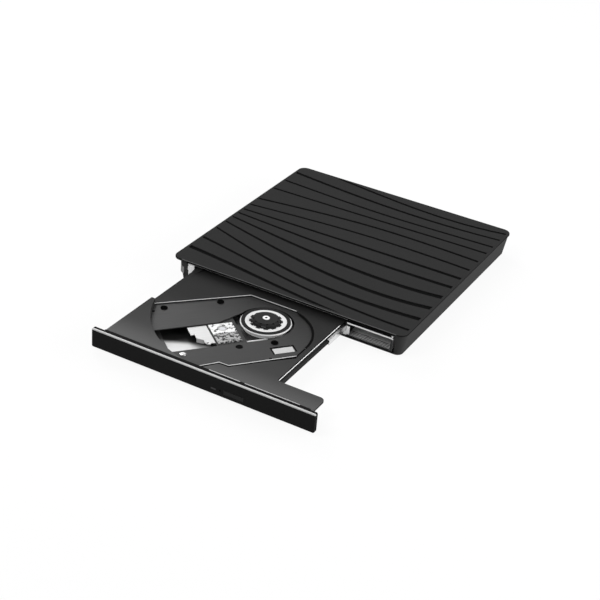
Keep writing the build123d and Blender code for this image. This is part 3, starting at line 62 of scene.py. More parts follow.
# %% Node helpers
def add_node(tree, kind, **values):
    """One shader node with its properties and its input values set."""
    node = tree.nodes.new(kind)
    for name, value in values.items():
        if hasattr(node, name):
            setattr(node, name, value)
        else:
            node.inputs[name.replace("_", " ")].default_value = value
    return node


def new_group(name, inputs, outputs):
    """An empty shader group with named sockets; returns the tree and its two end nodes."""
    tree = bpy.data.node_groups.new(name, "ShaderNodeTree")
    for label, value in inputs:
        socket = tree.interface.new_socket(label, in_out="INPUT", socket_type="NodeSocketFloat")
        socket.default_value = value
    for label, kind in outputs:
        tree.interface.new_socket(label, in_out="OUTPUT", socket_type=kind)
    return tree, tree.nodes.new("NodeGroupInput"), tree.nodes.new("NodeGroupOutput")


def start_material(name, roughness, metallic=0.0, specular=0.5):
    """A material with a Principled shader; returns the material, its tree and the shader."""
    material = bpy.data.materials.new(name)
    material.use_nodes = True
    tree = material.node_tree
    shader = tree.nodes["Principled BSDF"]
    shader.inputs["Roughness"].default_value = roughness
    shader.inputs["Metallic"].default_value = metallic
    shader.inputs["Specular IOR Level"].default_value = specular
    return material, tree, shader


def place_group(tree, group, **values):
    """A copy of a shader group in a material, with its own values."""
    node = tree.nodes.new("ShaderNodeGroup")
    node.node_tree = group
    for name, value in values.items():
        node.inputs[name.replace("_", " ")].default_value = value
    return node


print("node helpers ready")

# %% [markdown]
# ## Moulded grain
# The case, the tray and the front panel are moulded plastic. A spark-eroded mould leaves a fine
# grain, well under a millimetre, which breaks up the gloss and gives a soft sheen. One group makes
# it from two noises in object space: a fine one for the grain and a wide one for faint clouds.

# %% Group: moulded grain
grain_group, grain_in, grain_out = new_group(
    "moulded_grain",
    [("Grain Scale", 1800.0), ("Cloud Scale", 30.0), ("Spread", 0.08), ("Tone Low", 0.9)],
    [
        ("Height", "NodeSocketFloat"),
        ("Roughness Shift", "NodeSocketFloat"),
        ("Tone", "NodeSocketFloat"),
    ],
)
grain_coord = add_node(grain_group, "ShaderNodeTexCoord")
grain_noise = add_node(grain_group, "ShaderNodeTexNoise", Detail=3.0, Roughness=0.6)
cloud_noise = add_node(grain_group, "ShaderNodeTexNoise", Detail=2.0, Roughness=0.5)
grain_shift = add_node(grain_group, "ShaderNodeMath", operation="MULTIPLY_ADD")
grain_tone = add_node(grain_group, "ShaderNodeMapRange", To_Max=1.0)
links = grain_group.links
links.new(grain_coord.outputs["Object"], grain_noise.inputs["Vector"])
links.new(grain_coord.outputs["Object"], cloud_noise.inputs["Vector"])
links.new(grain_in.outputs["Grain Scale"], grain_noise.inputs["Scale"])
links.new(grain_in.outputs["Cloud Scale"], cloud_noise.inputs["Scale"])
links.new(grain_noise.outputs["Fac"], grain_out.inputs["Height"])
links.new(cloud_noise.outputs["Fac"], grain_shift.inputs[0])
links.new(grain_in.outputs["Spread"], grain_shift.inputs[1])
links.new(grain_shift.outputs[0], grain_out.inputs["Roughness Shift"])
links.new(cloud_noise.outputs["Fac"], grain_tone.inputs["Value"])
links.new(grain_in.outputs["Tone Low"], grain_tone.inputs["To Min"])
links.new(grain_tone.outputs["Result"], grain_out.inputs["Tone"])
print("group", grain_group.name)

# %% [markdown]
# ## Rounded edges
# No moulded or stamped edge is perfectly sharp. The thin line of light that runs along the front
# panel, the tray and the plate comes from a tiny radius. The Bevel node bends the normals near an
# edge, and comparing them with the flat normals gives a mask of the edge. The finishes make their
# rims paler under it, partly as wear and partly as a painted highlight.

# %% Group: edge line
edge_group, edge_in, edge_out = new_group(
    "edge_line",
    [("Radius", 0.0003), ("Gain", 2.0)],
    [("Normal", "NodeSocketVector"), ("Mask", "NodeSocketFloat")],
)
edge_bevel = add_node(edge_group, "ShaderNodeBevel", samples=6)
edge_geometry = add_node(edge_group, "ShaderNodeNewGeometry")
edge_dot = add_node(edge_group, "ShaderNodeVectorMath", operation="DOT_PRODUCT")
edge_flip = add_node(edge_group, "ShaderNodeMath", operation="SUBTRACT")
edge_gain = add_node(edge_group, "ShaderNodeMath", operation="MULTIPLY", use_clamp=True)
edge_flip.inputs[0].default_value = 1.0
links = edge_group.links
links.new(edge_in.outputs["Radius"], edge_bevel.inputs["Radius"])
links.new(edge_bevel.outputs["Normal"], edge_dot.inputs[0])
links.new(edge_geometry.outputs["Normal"], edge_dot.inputs[1])
links.new(edge_dot.outputs["Value"], edge_flip.inputs[1])
links.new(edge_flip.outputs[0], edge_gain.inputs[0])
links.new(edge_in.outputs["Gain"], edge_gain.inputs[1])
links.new(edge_bevel.outputs["Normal"], edge_out.inputs["Normal"])
links.new(edge_gain.outputs[0], edge_out.inputs["Mask"])
print("group", edge_group.name)

# %% [markdown]
# ## Rolled and brushed metal
# Sheet steel keeps the marks of its rolling: long fine streaks in one direction. Stretching a noise
# along one axis makes them. They move the roughness and the tone a little and leave a faint relief.

# %% Group: rolled streaks
streak_group, streak_in, streak_out = new_group(
    "rolled_streaks",
    [("Along", 60.0), ("Across", 2600.0), ("Turn", 0.0), ("Tone Low", 0.8)],
    [
        ("Height", "NodeSocketFloat"),
        ("Roughness Shift", "NodeSocketFloat"),
        ("Tone", "NodeSocketFloat"),
    ],
)
streak_coord = add_node(streak_group, "ShaderNodeTexCoord")
streak_turn = add_node(streak_group, "ShaderNodeVectorRotate", rotation_type="Z_AXIS")
streak_scale = add_node(streak_group, "ShaderNodeCombineXYZ")
streak_stretch = add_node(streak_group, "ShaderNodeVectorMath", operation="MULTIPLY")
streak_noise = add_node(streak_group, "ShaderNodeTexNoise", Scale=1.0, Detail=4.0)
streak_shift = add_node(streak_group, "ShaderNodeMath", operation="MULTIPLY_ADD")
streak_tone = add_node(streak_group, "ShaderNodeMapRange", To_Max=1.0)
streak_shift.inputs[1].default_value = 0.3
streak_shift.inputs[2].default_value = -0.15
links = streak_group.links
links.new(streak_coord.outputs["Object"], streak_turn.inputs["Vector"])
links.new(streak_in.outputs["Turn"], streak_turn.inputs["Angle"])
links.new(streak_in.outputs["Along"], streak_scale.inputs["X"])
links.new(streak_in.outputs["Across"], streak_scale.inputs["Y"])
links.new(streak_in.outputs["Across"], streak_scale.inputs["Z"])
links.new(streak_turn.outputs["Vector"], streak_stretch.inputs[0])
links.new(streak_scale.outputs["Vector"], streak_stretch.inputs[1])
links.new(streak_stretch.outputs["Vector"], streak_noise.inputs["Vector"])
links.new(streak_noise.outputs["Fac"], streak_out.inputs["Height"])
links.new(streak_noise.outputs["Fac"], streak_shift.inputs[0])
links.new(streak_shift.outputs[0], streak_out.inputs["Roughness Shift"])
links.new(streak_noise.outputs["Fac"], streak_tone.inputs["Value"])
links.new(streak_in.outputs["Tone Low"], streak_tone.inputs["To Min"])
links.new(streak_tone.outputs["Result"], streak_out.inputs["Tone"])
print("group", streak_group.name)

# %% [markdown]
# ## Dust in the corners
# A little pale dust keeps wide black surfaces from looking computer-clean. It is a sparse speckle,
# only a few percent lighter than the plastic under it.

# %% Group: fine dust
dust_group, dust_in, dust_out = new_group(
    "fine_dust", [("Scale", 900.0), ("Amount", 0.25)], [("Mask", "NodeSocketFloat")]
)
dust_coord = add_node(dust_group, "ShaderNodeTexCoord")
dust_cells = add_node(dust_group, "ShaderNodeTexVoronoi", feature="F1")
dust_ramp = add_node(dust_group, "ShaderNodeMapRange", From_Min=0.16, From_Max=0.08)
dust_gain = add_node(dust_group, "ShaderNodeMath", operation="MULTIPLY")
links = dust_group.links
links.new(dust_coord.outputs["Object"], dust_cells.inputs["Vector"])
links.new(dust_in.outputs["Scale"], dust_cells.inputs["Scale"])
links.new(dust_cells.outputs["Distance"], dust_ramp.inputs["Value"])
links.new(dust_ramp.outputs["Result"], dust_gain.inputs[0])
links.new(dust_in.outputs["Amount"], dust_gain.inputs[1])
links.new(dust_gain.outputs[0], dust_out.inputs["Mask"])
print("group", dust_group.name)

# %% [markdown]
# ## A mask that follows a place on the part
# Some finishes change from one place to another: the grooves of the cover are darker than its waves,
# as painted shade, and the front of the tray is paler, as a painted pool of light. A dot product of
# the place with a direction, sent through a smooth ramp, gives a mask for that. It is in object
# space, so it stays on the part.

# %% Group: place ramp
ramp_group, ramp_in, ramp_out = new_group(
    "place_ramp",
    [("Along X", 0.0), ("Along Y", 0.0), ("Along Z", 1.0), ("From", 0.0), ("To", 1.0)],
    [("Mask", "NodeSocketFloat")],
)
ramp_coord = add_node(ramp_group, "ShaderNodeTexCoord")
ramp_way = add_node(ramp_group, "ShaderNodeCombineXYZ")
ramp_dot = add_node(ramp_group, "ShaderNodeVectorMath", operation="DOT_PRODUCT")
ramp_map = add_node(ramp_group, "ShaderNodeMapRange", interpolation_type="SMOOTHSTEP")
links = ramp_group.links
for axis in "XYZ":
    links.new(ramp_in.outputs["Along " + axis], ramp_way.inputs[axis])
links.new(ramp_coord.outputs["Object"], ramp_dot.inputs[0])
links.new(ramp_way.outputs["Vector"], ramp_dot.inputs[1])
links.new(ramp_dot.outputs["Value"], ramp_map.inputs["Value"])
links.new(ramp_in.outputs["From"], ramp_map.inputs["From Min"])
links.new(ramp_in.outputs["To"], ramp_map.inputs["From Max"])
links.new(ramp_map.outputs["Result"], ramp_out.inputs["Mask"])
print("group", ramp_group.name)

# %% [markdown]
# ## One change of tone at a time
# Plastic and paint are never one flat colour: edges are paler, partly from wear and partly as a
# painted highlight, and the gloss wanders a little. Some changes paint light and shade into the
# colour: dark grooves, darker upright faces, paler places. Each helper adds one such change to a
# material's tree and hands on the socket that comes out of it, so that a finish can chain as many as
# it needs.

# %% Tone and relief helpers
def scaled_colour(tree, tone_socket, colour):
    """A colour multiplied by a tone mask."""
    mix = add_node(tree, "ShaderNodeMix", data_type="RGBA", blend_type="MULTIPLY")
    mix.inputs["Factor"].default_value = 1.0
    mix.inputs["A"].default_value = (*colour, 1.0)
    tree.links.new(tone_socket, mix.inputs["B"])
    return mix.outputs["Result"]


def paler_where(tree, mask_socket, colour_socket, pale):
    """A colour that turns to a paler one where a mask is high."""
    mix = add_node(tree, "ShaderNodeMix", data_type="RGBA")
    mix.inputs["B"].default_value = (*pale, 1.0)
    tree.links.new(mask_socket, mix.inputs["Factor"])
    tree.links.new(colour_socket, mix.inputs["A"])
    return mix.outputs["Result"]


def shifted_roughness(tree, shader, shift_socket, roughness):
    """The shader's roughness moved up and down by a mask."""
    total = add_node(tree, "ShaderNodeMath", operation="ADD", use_clamp=True)
    total.inputs[1].default_value = roughness
    tree.links.new(shift_socket, total.inputs[0])
    tree.links.new(total.outputs[0], shader.inputs["Roughness"])


def bumped(tree, shader, height_socket, normal_socket, strength, distance):
    """Relief from a height on top of rounded-edge normals."""
    bump = add_node(tree, "ShaderNodeBump", Strength=strength, Distance=distance)
    tree.links.new(height_socket, bump.inputs["Height"])
    tree.links.new(normal_socket, bump.inputs["Normal"])
    tree.links.new(bump.outputs["Normal"], shader.inputs["Normal"])


def in_place(tree, colour_socket, other, along, start, stop):
    """A colour that turns to another one from one place to a second one, in millimetres."""
    ramp = place_group(tree, ramp_group, From=start * MM, To=stop * MM)
    for axis, share in zip("XYZ", along):
        ramp.inputs["Along " + axis].default_value = share
    return paler_where(tree, ramp.outputs["Mask"], colour_socket, other)


def painted_side_shade(tree, colour_socket, share):
    """A colour that is only a share of itself on upright faces: painted shade on the sides."""
    facing = add_node(tree, "ShaderNodeNewGeometry")
    split = add_node(tree, "ShaderNodeSeparateXYZ")
    flat = add_node(tree, "ShaderNodeMapRange", From_Min=0.3, From_Max=0.8, To_Min=share, To_Max=1.0)
    mix = add_node(tree, "ShaderNodeMix", data_type="RGBA", blend_type="MULTIPLY")
    mix.inputs["Factor"].default_value = 1.0
    tree.links.new(facing.outputs["Normal"], split.inputs[0])
    tree.links.new(split.outputs["Z"], flat.inputs["Value"])
    tree.links.new(colour_socket, mix.inputs["A"])
    tree.links.new(flat.outputs["Result"], mix.inputs["B"])
    return mix.outputs["Result"]


def grey(tone):
    """A neutral colour."""
    return (tone, tone, tone)


print("tone helpers ready")

# %% [markdown]
# ## Plastic finishes
# The case is satin black, with grooves darkened by painted shade and walls made slightly paler by
# painted light. The tray is a lighter grey that turns paler to its front as a painted pool of light,
# with painted shade on its upright faces, and the front panel is nearly black with a painted
# highlight along its top edge and painted shade behind it. They share one recipe, so one function
# makes them all, each with its own tone, gloss and grain.

# %% Plastics
GRAIN_DEPTH = 0.00004


def moulded(
    name, colour, edge_colour, roughness, specular=0.5, grain=1800.0, edge=0.0003, relief=0.12,
    places=(), side_shade=None,
):
    """Moulded plastic: grain, clouds, edges paler from wear and painted highlight, places painted
    lighter or darker, painted shade on upright faces.
    """
    material, tree, shader = start_material(name, roughness, specular=specular)
    grain_node = place_group(tree, grain_group, Grain_Scale=grain)
    edge_node = place_group(tree, edge_group, Radius=edge)
    dust_node = place_group(tree, dust_group)
    toned = scaled_colour(tree, grain_node.outputs["Tone"], colour)
    for other, along, start, stop in places:
        toned = in_place(tree, toned, other, along, start, stop)
    if side_shade is not None:
        toned = painted_side_shade(tree, toned, side_shade)
    rimmed = paler_where(tree, edge_node.outputs["Mask"], toned, edge_colour)
    dusty = paler_where(tree, dust_node.outputs["Mask"], rimmed, [c * 1.8 + 0.01 for c in colour])
    tree.links.new(dusty, shader.inputs["Base Color"])
    shifted_roughness(tree, shader, grain_node.outputs["Roughness Shift"], roughness)
    bumped(
        tree, shader, grain_node.outputs["Height"], edge_node.outputs["Normal"], relief, GRAIN_DEPTH
    )
    return material


UP = (0, 0, 1)
DOWN = (0, 0, -1)
TO_FRONT = (0, -1, 0)
TO_BACK = (0, 1, 0)
PLATE_TOP = 14.4
GROOVE_FLOOR = 13.95
SMALL_EDGE = 0.00015
FINE_EDGE = 0.0001
# The case: painted shade darkens its grooves below the tops of the waves, and painted light makes its
# walls below them slightly paler.
case_black = moulded(
    "case_black", grey(0.0275), grey(0.036), 0.5, 0.06,
    places=[
        (grey(0.002), DOWN, -PLATE_TOP + 0.05, -GROOVE_FLOOR - 0.08),
        (grey(0.05), DOWN, -GROOVE_FLOOR + 0.1, -GROOVE_FLOOR + 0.3),
    ],
)
base_black = moulded("base_black", (0.014, 0.014, 0.015), grey(0.04), 0.55, 0.3)
# The tray: a painted pool of light makes it paler to its front in two steps, and painted shade darkens
# its upright faces.
tray_grey = moulded(
    "tray_grey", grey(0.014), grey(0.05), 0.42, 0.3,
    places=[(grey(0.04), TO_FRONT, 48, 100), (grey(0.092), TO_FRONT, 93, 114)], side_shade=0.12,
)
# The panel: a painted highlight makes the top of its front light grey, and painted shade makes the top
# behind it darker.
panel_black = moulded(
    "panel_black", grey(0.012), grey(0.02), 0.38, 0.12,
    places=[(grey(0.6), UP, 12.2, 12.35), (grey(0.004), TO_BACK, -116.75, -116.6)],
)
# The button's rims are far paler than its face: a painted highlight round its edges.
button_black = moulded("button_black", grey(0.016), grey(0.14), 0.35, 0.3, edge=0.00025)
part_black = moulded("part_black", grey(0.010), grey(0.03), 0.45, 0.3)
hub_black = moulded("hub_black", grey(0.008), grey(0.05), 0.4, 0.4, edge=SMALL_EDGE)
acetal_white = moulded("acetal_white", (0.62, 0.62, 0.58), (0.7, 0.7, 0.68), 0.4, 0.4)
block_grey = moulded("block_grey", grey(0.5), grey(0.6), 0.45, 0.4)
# Pale grey for the beads on the tray's opening and the panel's lip: a painted highlight along those
# edges.
highlight_grey = moulded("highlight_grey", grey(0.6), grey(0.75), 0.35, 0.5, edge=FINE_EDGE)
dark_trim = moulded("dark_trim", grey(0.05), grey(0.12), 0.45, 0.3, edge=FINE_EDGE)
# Grey for the strip on the case's front bevel: a painted highlight.
bevel_highlight_grey = moulded("bevel_highlight_grey", grey(0.15), grey(0.2), 0.45, 0.2, edge=FINE_EDGE)
# Grey for the strip on the mouth's rounded left corner: a painted highlight.
corner_highlight_grey = moulded("corner_highlight_grey", grey(0.3), grey(0.4), 0.45, 0.3, edge=FINE_EDGE)
# Near black for the hub's shaft end and the window's rim, and for strips and discs that paint the
# shade in gaps, holes and under edges.
seam_and_shade_black = moulded("seam_and_shade_black", grey(0.003), grey(0.006), 0.6, 0.05, edge=FINE_EDGE)
claw_grey = moulded("claw_grey", grey(0.12), grey(0.5), 0.3, 0.5, edge=SMALL_EDGE)
label_grey = moulded("label_grey", grey(0.55), grey(0.7), 0.4, 0.3, edge=FINE_EDGE)
# Near white for the hub's boss, the rod's tip and the frame's rib, and for the strip along the tray's
# right edge, where it is a painted highlight.
white_and_highlight = moulded("white_and_highlight", grey(0.9), grey(0.95), 0.4, 0.3, edge=FINE_EDGE)
chip_black = moulded("chip_black", grey(0.02), grey(0.04), 0.5, 0.3, grain=2600.0)
print("plastics made")

# %% [markdown]
# ## Rubber
# Feet, dampers and the ring that grips the disc are soft rubber: dull, dark, with a coarser grain
# than the plastics and almost no gloss. The plastic's recipe makes it too, with other values.

# %% Rubber
rubber_black = moulded(
    "rubber_black", grey(0.012), grey(0.02), 0.75, 0.25, grain=1200.0, relief=0.25
)
print("rubber made")

# %% [markdown]
# ## Metals
# Sheet steel with rolling streaks folds into the chassis, lid and shields, plated steel makes the
# rails and rods, the turntable is turned and nearly white, and dark paint covers the plate over the
# mechanism. They share a recipe too. Place ramps paint light and shade into some of them: a painted
# highlight whitens the mouth's front edges, painted shade blackens the top of the lid's folded edge
# and the shield's floor, which keeps a painted pool of light at its far end, the turntable's side is
# whiter than its top as painted light, and the plate is paler to its front as a painted pool of light.
# A place ramp paints the mouth's front edges white, the lid's
# folded edge black on top, and leaves the far end of the shield's floor bright.

# %% Metals
STREAK_DEPTH = 0.00003


def rolled(
    name, colour, edge_colour, roughness, turn=0.0, metallic=1.0, edge=0.0002, relief=0.08,
    specular=0.5, places=(),
):
    """Sheet metal with streaks along one direction, rounded edges and places of another tone."""
    material, tree, shader = start_material(name, roughness, metallic, specular)
    streak_node = place_group(tree, streak_group, Turn=turn)
    edge_node = place_group(tree, edge_group, Radius=edge)
    toned = scaled_colour(tree, streak_node.outputs["Tone"], colour)
    for other, along, start, stop in places:
        toned = in_place(tree, toned, other, along, start, stop)
    rimmed = paler_where(tree, edge_node.outputs["Mask"], toned, edge_colour)
    tree.links.new(rimmed, shader.inputs["Base Color"])
    shifted_roughness(tree, shader, streak_node.outputs["Roughness Shift"], roughness)
    bumped(
        tree, shader, streak_node.outputs["Height"], edge_node.outputs["Normal"], relief, STREAK_DEPTH
    )
    return material


SLED_TURN = math.radians(-49.5)
sheet_steel = rolled("sheet_steel", grey(0.62), grey(0.8), 0.42)
# The folded front edges of bare steel turn nearly white: partly the steel's own paleness, partly a
# painted highlight.
FRONT_EDGE = (grey(0.95), TO_FRONT, 29.85, 30.1)
mouth_steel = rolled("mouth_steel", grey(0.72), grey(0.8), 0.4, metallic=0.2, places=[FRONT_EDGE])
# The lid also turns black on top of its folded edge, as painted shade in the gap under the case, and
# steel again higher up.
lid_steel = rolled(
    "lid_steel", grey(0.72), grey(0.8), 0.4, metallic=0.2,
    places=[FRONT_EDGE, (grey(0.003), UP, 10.88, 10.96), (grey(0.72), UP, 11.4, 11.6)],
)
frame_steel = rolled("frame_steel", grey(0.045), grey(0.2), 0.4, SLED_TURN, metallic=0.4)
sled_white = rolled("sled_white", grey(0.7), grey(0.85), 0.4, SLED_TURN, metallic=0.3)
bright_metal = rolled("bright_metal", grey(0.85), grey(0.95), 0.25, edge=SMALL_EDGE)
# The turntable's side is whiter than its top: painted light on its side.
turned_white = rolled(
    "turned_white", grey(0.97), grey(0.9), 0.4, metallic=0.0, places=[(grey(0.72), UP, 8.9, 9.15)]
)
# The plate turns paler towards its front: a painted pool of light.
plate_dark = rolled(
    "plate_dark", grey(0.018), grey(0.08), 0.45, SLED_TURN, metallic=0.0, specular=0.2,
    places=[(grey(0.034), TO_FRONT, 40, 75)],
)
screw_black = rolled("screw_black", grey(0.003), grey(0.012), 0.6, metallic=0.0, specular=0.0)
cast_metal = rolled("cast_metal", grey(0.03), grey(0.1), 0.5, SLED_TURN, metallic=0.0, specular=0.2)
# The shield's floor is nearly black on its top as painted shade under the plate, with a painted pool
# of light at one corner; its other faces stay bright steel.
SHIELD_TOP = 4.8
TOP_ONLY = -400
CORNER_START = 67
CORNER_STOP = 71.5
floor_steel = rolled(
    "floor_steel", grey(0.02), grey(0.3), 0.42, metallic=0.6,
    places=[
        (
            grey(0.62), (0.45, -0.89, TOP_ONLY), CORNER_START + TOP_ONLY * SHIELD_TOP,
            CORNER_STOP + TOP_ONLY * SHIELD_TOP,
        )
    ],
)
print("metals made")

# %% [markdown]
# ## The pickup's cover
# The thin cover over the pickup is bright where it is plain, and grey on the half that carries the
# fine stamped pattern. The same place ramp splits the two halves along the sled, and a sharp noise
# threshold gives the dark marks of the pattern, about a millimetre across.

# %% Pickup cover
cover_steel, cover_tree, cover_shader = start_material("cover_steel", 0.38, 0.25)
cover_streaks = place_group(cover_tree, streak_group, Turn=SLED_TURN)
cover_edges = place_group(cover_tree, edge_group, Radius=FINE_EDGE)
cover_coord = add_node(cover_tree, "ShaderNodeTexCoord")
cover_noise = add_node(cover_tree, "ShaderNodeTexNoise", Scale=620.0, Detail=1.5, Roughness=0.6)
cover_half = place_group(
    cover_tree, ramp_group, Along_X=0.760, Along_Y=-0.649, Along_Z=0.0, From=0.0405, To=0.0420
)
cover_limit = add_node(cover_tree, "ShaderNodeMapRange", To_Min=0.40, To_Max=0.50)
cover_gap = add_node(cover_tree, "ShaderNodeMath", operation="SUBTRACT")
cover_marks = add_node(cover_tree, "ShaderNodeMapRange", From_Min=0.0, From_Max=0.03)
cover_plain = scaled_colour(cover_tree, cover_streaks.outputs["Tone"], grey(0.92))
cover_toned = paler_where(cover_tree, cover_half.outputs["Mask"], cover_plain, grey(0.36))
cover_marked = paler_where(cover_tree, cover_marks.outputs["Result"], cover_toned, grey(0.02))
cover_tree.links.new(cover_coord.outputs["Object"], cover_noise.inputs["Vector"])
cover_tree.links.new(cover_half.outputs["Mask"], cover_limit.inputs["Value"])
cover_tree.links.new(cover_limit.outputs["Result"], cover_gap.inputs[0])
cover_tree.links.new(cover_noise.outputs["Fac"], cover_gap.inputs[1])
cover_tree.links.new(cover_gap.outputs[0], cover_marks.inputs["Value"])
cover_tree.links.new(cover_marked, cover_shader.inputs["Base Color"])
bumped(
    cover_tree, cover_shader, cover_streaks.outputs["Height"], cover_edges.outputs["Normal"],
    0.1, STREAK_DEPTH,
)
print("pickup cover finish made")

# %% [markdown]
# ## Circuit boards
# A board shows pale copper tracks under a coloured solder mask. A brick pattern gives runs and
# pads, and the tracks stand a few hundredths of a millimetre proud.

# %% Circuit board
TRACK_DEPTH = 0.00005
board_green, board_tree, board_shader = start_material("board_green", 0.35)
board_coord = add_node(board_tree, "ShaderNodeTexCoord")
board_brick = add_node(
    board_tree, "ShaderNodeTexBrick", Scale=260.0, Color1=(0.012, 0.075, 0.03, 1),
    Color2=(0.016, 0.09, 0.036, 1), Mortar=(0.04, 0.2, 0.08, 1), Mortar_Size=0.03,
)
board_edges = place_group(board_tree, edge_group, Radius=FINE_EDGE)
board_tree.links.new(board_coord.outputs["Object"], board_brick.inputs["Vector"])
board_tree.links.new(board_brick.outputs["Color"], board_shader.inputs["Base Color"])
bumped(
    board_tree, board_shader, board_brick.outputs["Fac"], board_edges.outputs["Normal"], 0.3,
    TRACK_DEPTH,
)
print("board finish made")

# %% [markdown]
# ## Clear parts, windings and film
# The lamp's lens is smoked plastic, the pickup lens is coated and shines bluish, the windings are
# enamelled copper, the flat cable is amber film with fine conductors along it, and yellow tape wraps
# the latch's magnet. The streaks of rolled metal do for wire, film and tape as well.

# %% Lamp, lens, copper, film
def clear(name, colour, roughness, transmission):
    """Clear plastic with a faint surface mottle."""
    material, tree, shader = start_material(name, roughness)
    grain_node = place_group(tree, grain_group, Grain_Scale=900.0)
    shader.inputs["Transmission Weight"].default_value = transmission
    shader.inputs["IOR"].default_value = 1.5
    toned = scaled_colour(tree, grain_node.outputs["Tone"], colour)
    tree.links.new(toned, shader.inputs["Base Color"])
    shifted_roughness(tree, shader, grain_node.outputs["Roughness Shift"], roughness)
    return material


lamp_smoke = clear("lamp_smoke", grey(0.03), 0.2, 0.0)
lens_coated = clear("lens_coated", (0.88, 0.89, 0.92), 0.1, 0.2)
copper_wire = rolled("copper_wire", (0.62, 0.28, 0.12), (0.7, 0.4, 0.2), 0.4)
film_amber = rolled("film_amber", (0.4, 0.2, 0.05), (0.5, 0.3, 0.1), 0.35, math.pi / 2, metallic=0.0)
coil_tape = rolled("coil_tape", (0.35, 0.26, 0.04), (0.45, 0.35, 0.1), 0.4, metallic=0.0)
print("small finishes made")

# %% [markdown]
# ## Give every solid its finish
# The solids keep their shape, so a finish goes straight into each object's material slots. One list
# of names for each finish is easier to check than a line for every solid, and what it prints shows
# that none was left out.

# %% Hand out the finishes
finishes = {
    case_black: ["top_cover"],
    base_black: ["bottom_cover"],
    tray_grey: ["tray"],
    panel_black: ["bezel"],
    button_black: ["eject_button"],
    plate_dark: ["mechanism_cover"],
    part_black: [
        "left_guide", "right_guide", "sata_socket", "sata_plug", "usb_tongue", "eject_switch",
        "rod_holders", "ejector_plunger",
    ],
    hub_black: ["disc_hub"],
    claw_grey: ["chuck_claws"],
    rubber_black: ["rubber_feet", "rubber_ring", "damper_bushes"],
    sheet_steel: ["wing_shield"],
    floor_steel: ["tray_shield"],
    mouth_steel: ["drive_chassis"],
    lid_steel: ["drive_lid"],
    frame_steel: ["traverse_frame", "motor_bracket"],
    sled_white: ["sled_plate", "feed_motor"],
    cover_steel: ["actuator_cover"],
    turned_white: ["turntable"],
    bright_metal: [
        "left_rail", "right_rail", "usb_socket", "guide_rods", "lead_screw", "latch_post",
        "latch_pivot", "shield_screws", "board_screws", "lid_screws",
    ],
    screw_black: ["cover_screws", "case_screws", "drive_screws", "damper_screws"],
    cast_metal: ["sled_body"],
    board_green: ["drive_board", "bridge_board", "main_board", "switch_board"],
    chip_black: ["bridge_chip", "servo_chip", "motor_driver_chip"],
    acetal_white: ["thread_follower", "latch_lever"],
    block_grey: ["laser_block", "lens_holder"],
    lamp_smoke: ["led_lens"],
    lens_coated: ["objective_lens"],
    copper_wire: ["motor_stator"],
    film_amber: ["flex_cable"],
    coil_tape: ["latch_solenoid"],
}
finished = set()
for material, names in finishes.items():
    for name in names:
        mesh = nodes[name].data
        mesh.materials.clear()
        mesh.materials.append(material)
        for face in mesh.polygons:
            face.material_index = 0
        finished.add(name)
print("finished", len(finished), "left", sorted(set(nodes) - finished))

# %% [markdown]
# ## Strips and turned shapes
# Moulded and folded parts carry many thin ridges, rims and painted edges. Each is one short section
# carried along a path and mitred at the corners, which gives a clean closed strip with few faces. A
# section is a list of side and height offsets. Screw heads and bosses are a profile carried round a
# centre. Both could be drawn by hand, but a function keeps every one of them closed.

# %% Strips and turned shapes
def to_piece(name, build, material, body):
    """A finished mesh as a piece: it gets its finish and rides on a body."""
    bmesh.ops.recalc_face_normals(build, faces=build.faces)
    mesh = bpy.data.meshes.new(name)
    build.to_mesh(mesh)
    build.free()
    mesh.materials.append(material)
    piece = bpy.data.objects.new(name, mesh)
    bpy.context.scene.collection.objects.link(piece)
    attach(piece, body)


def joined_rings(build, rings):
    """Faces between closed rings of points, and one face over each end."""
    count = len(rings[0])
    for ring, following in zip(rings, rings[1:]):
        for i in range(count):
            j = (i + 1) % count
            build.faces.new((ring[i], ring[j], following[j], following[i]))
    build.faces.new(list(reversed(rings[0])))
    build.faces.new(rings[-1])


def swept(build, path, level, section):
    """A closed strip along a path at one level, in millimetres."""
    flat = [Vector(point) for point in path]
    runs = [(b - a).normalized() for a, b in zip(flat, flat[1:])]
    rings = []
    for number, point in enumerate(flat):
        before = runs[max(number - 1, 0)]
        after = runs[min(number, len(runs) - 1)]
        middle = (before + after).normalized()
        side = Vector((-middle.y, middle.x)) / middle.dot(after)
        spots = [(point + side * offset, level + rise) for offset, rise in section]
        rings.append([build.verts.new((spot.x * MM, spot.y * MM, z * MM)) for spot, z in spots])
    joined_rings(build, rings)


def turned(build, centre, profile, steps=40):
    """A turned shape: a closed profile of radius and height carried round a centre."""
    turns = [2 * math.pi * step / steps for step in range(steps)]
    rings = []
    for radius, level in profile:
        spots = [(centre[0] + radius * math.cos(a), centre[1] + radius * math.sin(a)) for a in turns]
        rings.append([build.verts.new((x * MM, y * MM, level * MM)) for x, y in spots])
    joined_rings(build, rings)


def strip(name, paths, level, section, material, body):
    """A piece made of strips that share a level and a section."""
    build = bmesh.new()
    for path in paths:
        swept(build, path, level, section)
    to_piece(name, build, material, body)


def turning(name, centre, profile, material, body, steps=40):
    """A piece made of one turned shape."""
    build = bmesh.new()
    turned(build, centre, profile, steps)
    to_piece(name, build, material, body)


def rounded_section(width, height, sink=0.1):
    """A low rounded ridge, sunk a little into what carries it."""
    half = width / 2
    return [
        (-half, -sink), (-half, height * 0.45), (-half * 0.6, height * 0.9), (0, height),
        (half * 0.6, height * 0.9), (half, height * 0.45), (half, -sink),
    ]


def flat_section(near, far, low, high):
    """A plain bar between two side offsets and two heights."""
    return [(near, low), (near, high), (far, high), (far, low)]


def along_x(start, stop, y):
    """A straight path from left to right."""
    return [(start, y), (stop, y)]


def along_y(x, start, stop):
    """A straight path from front to back."""
    return [(x, start), (x, stop)]


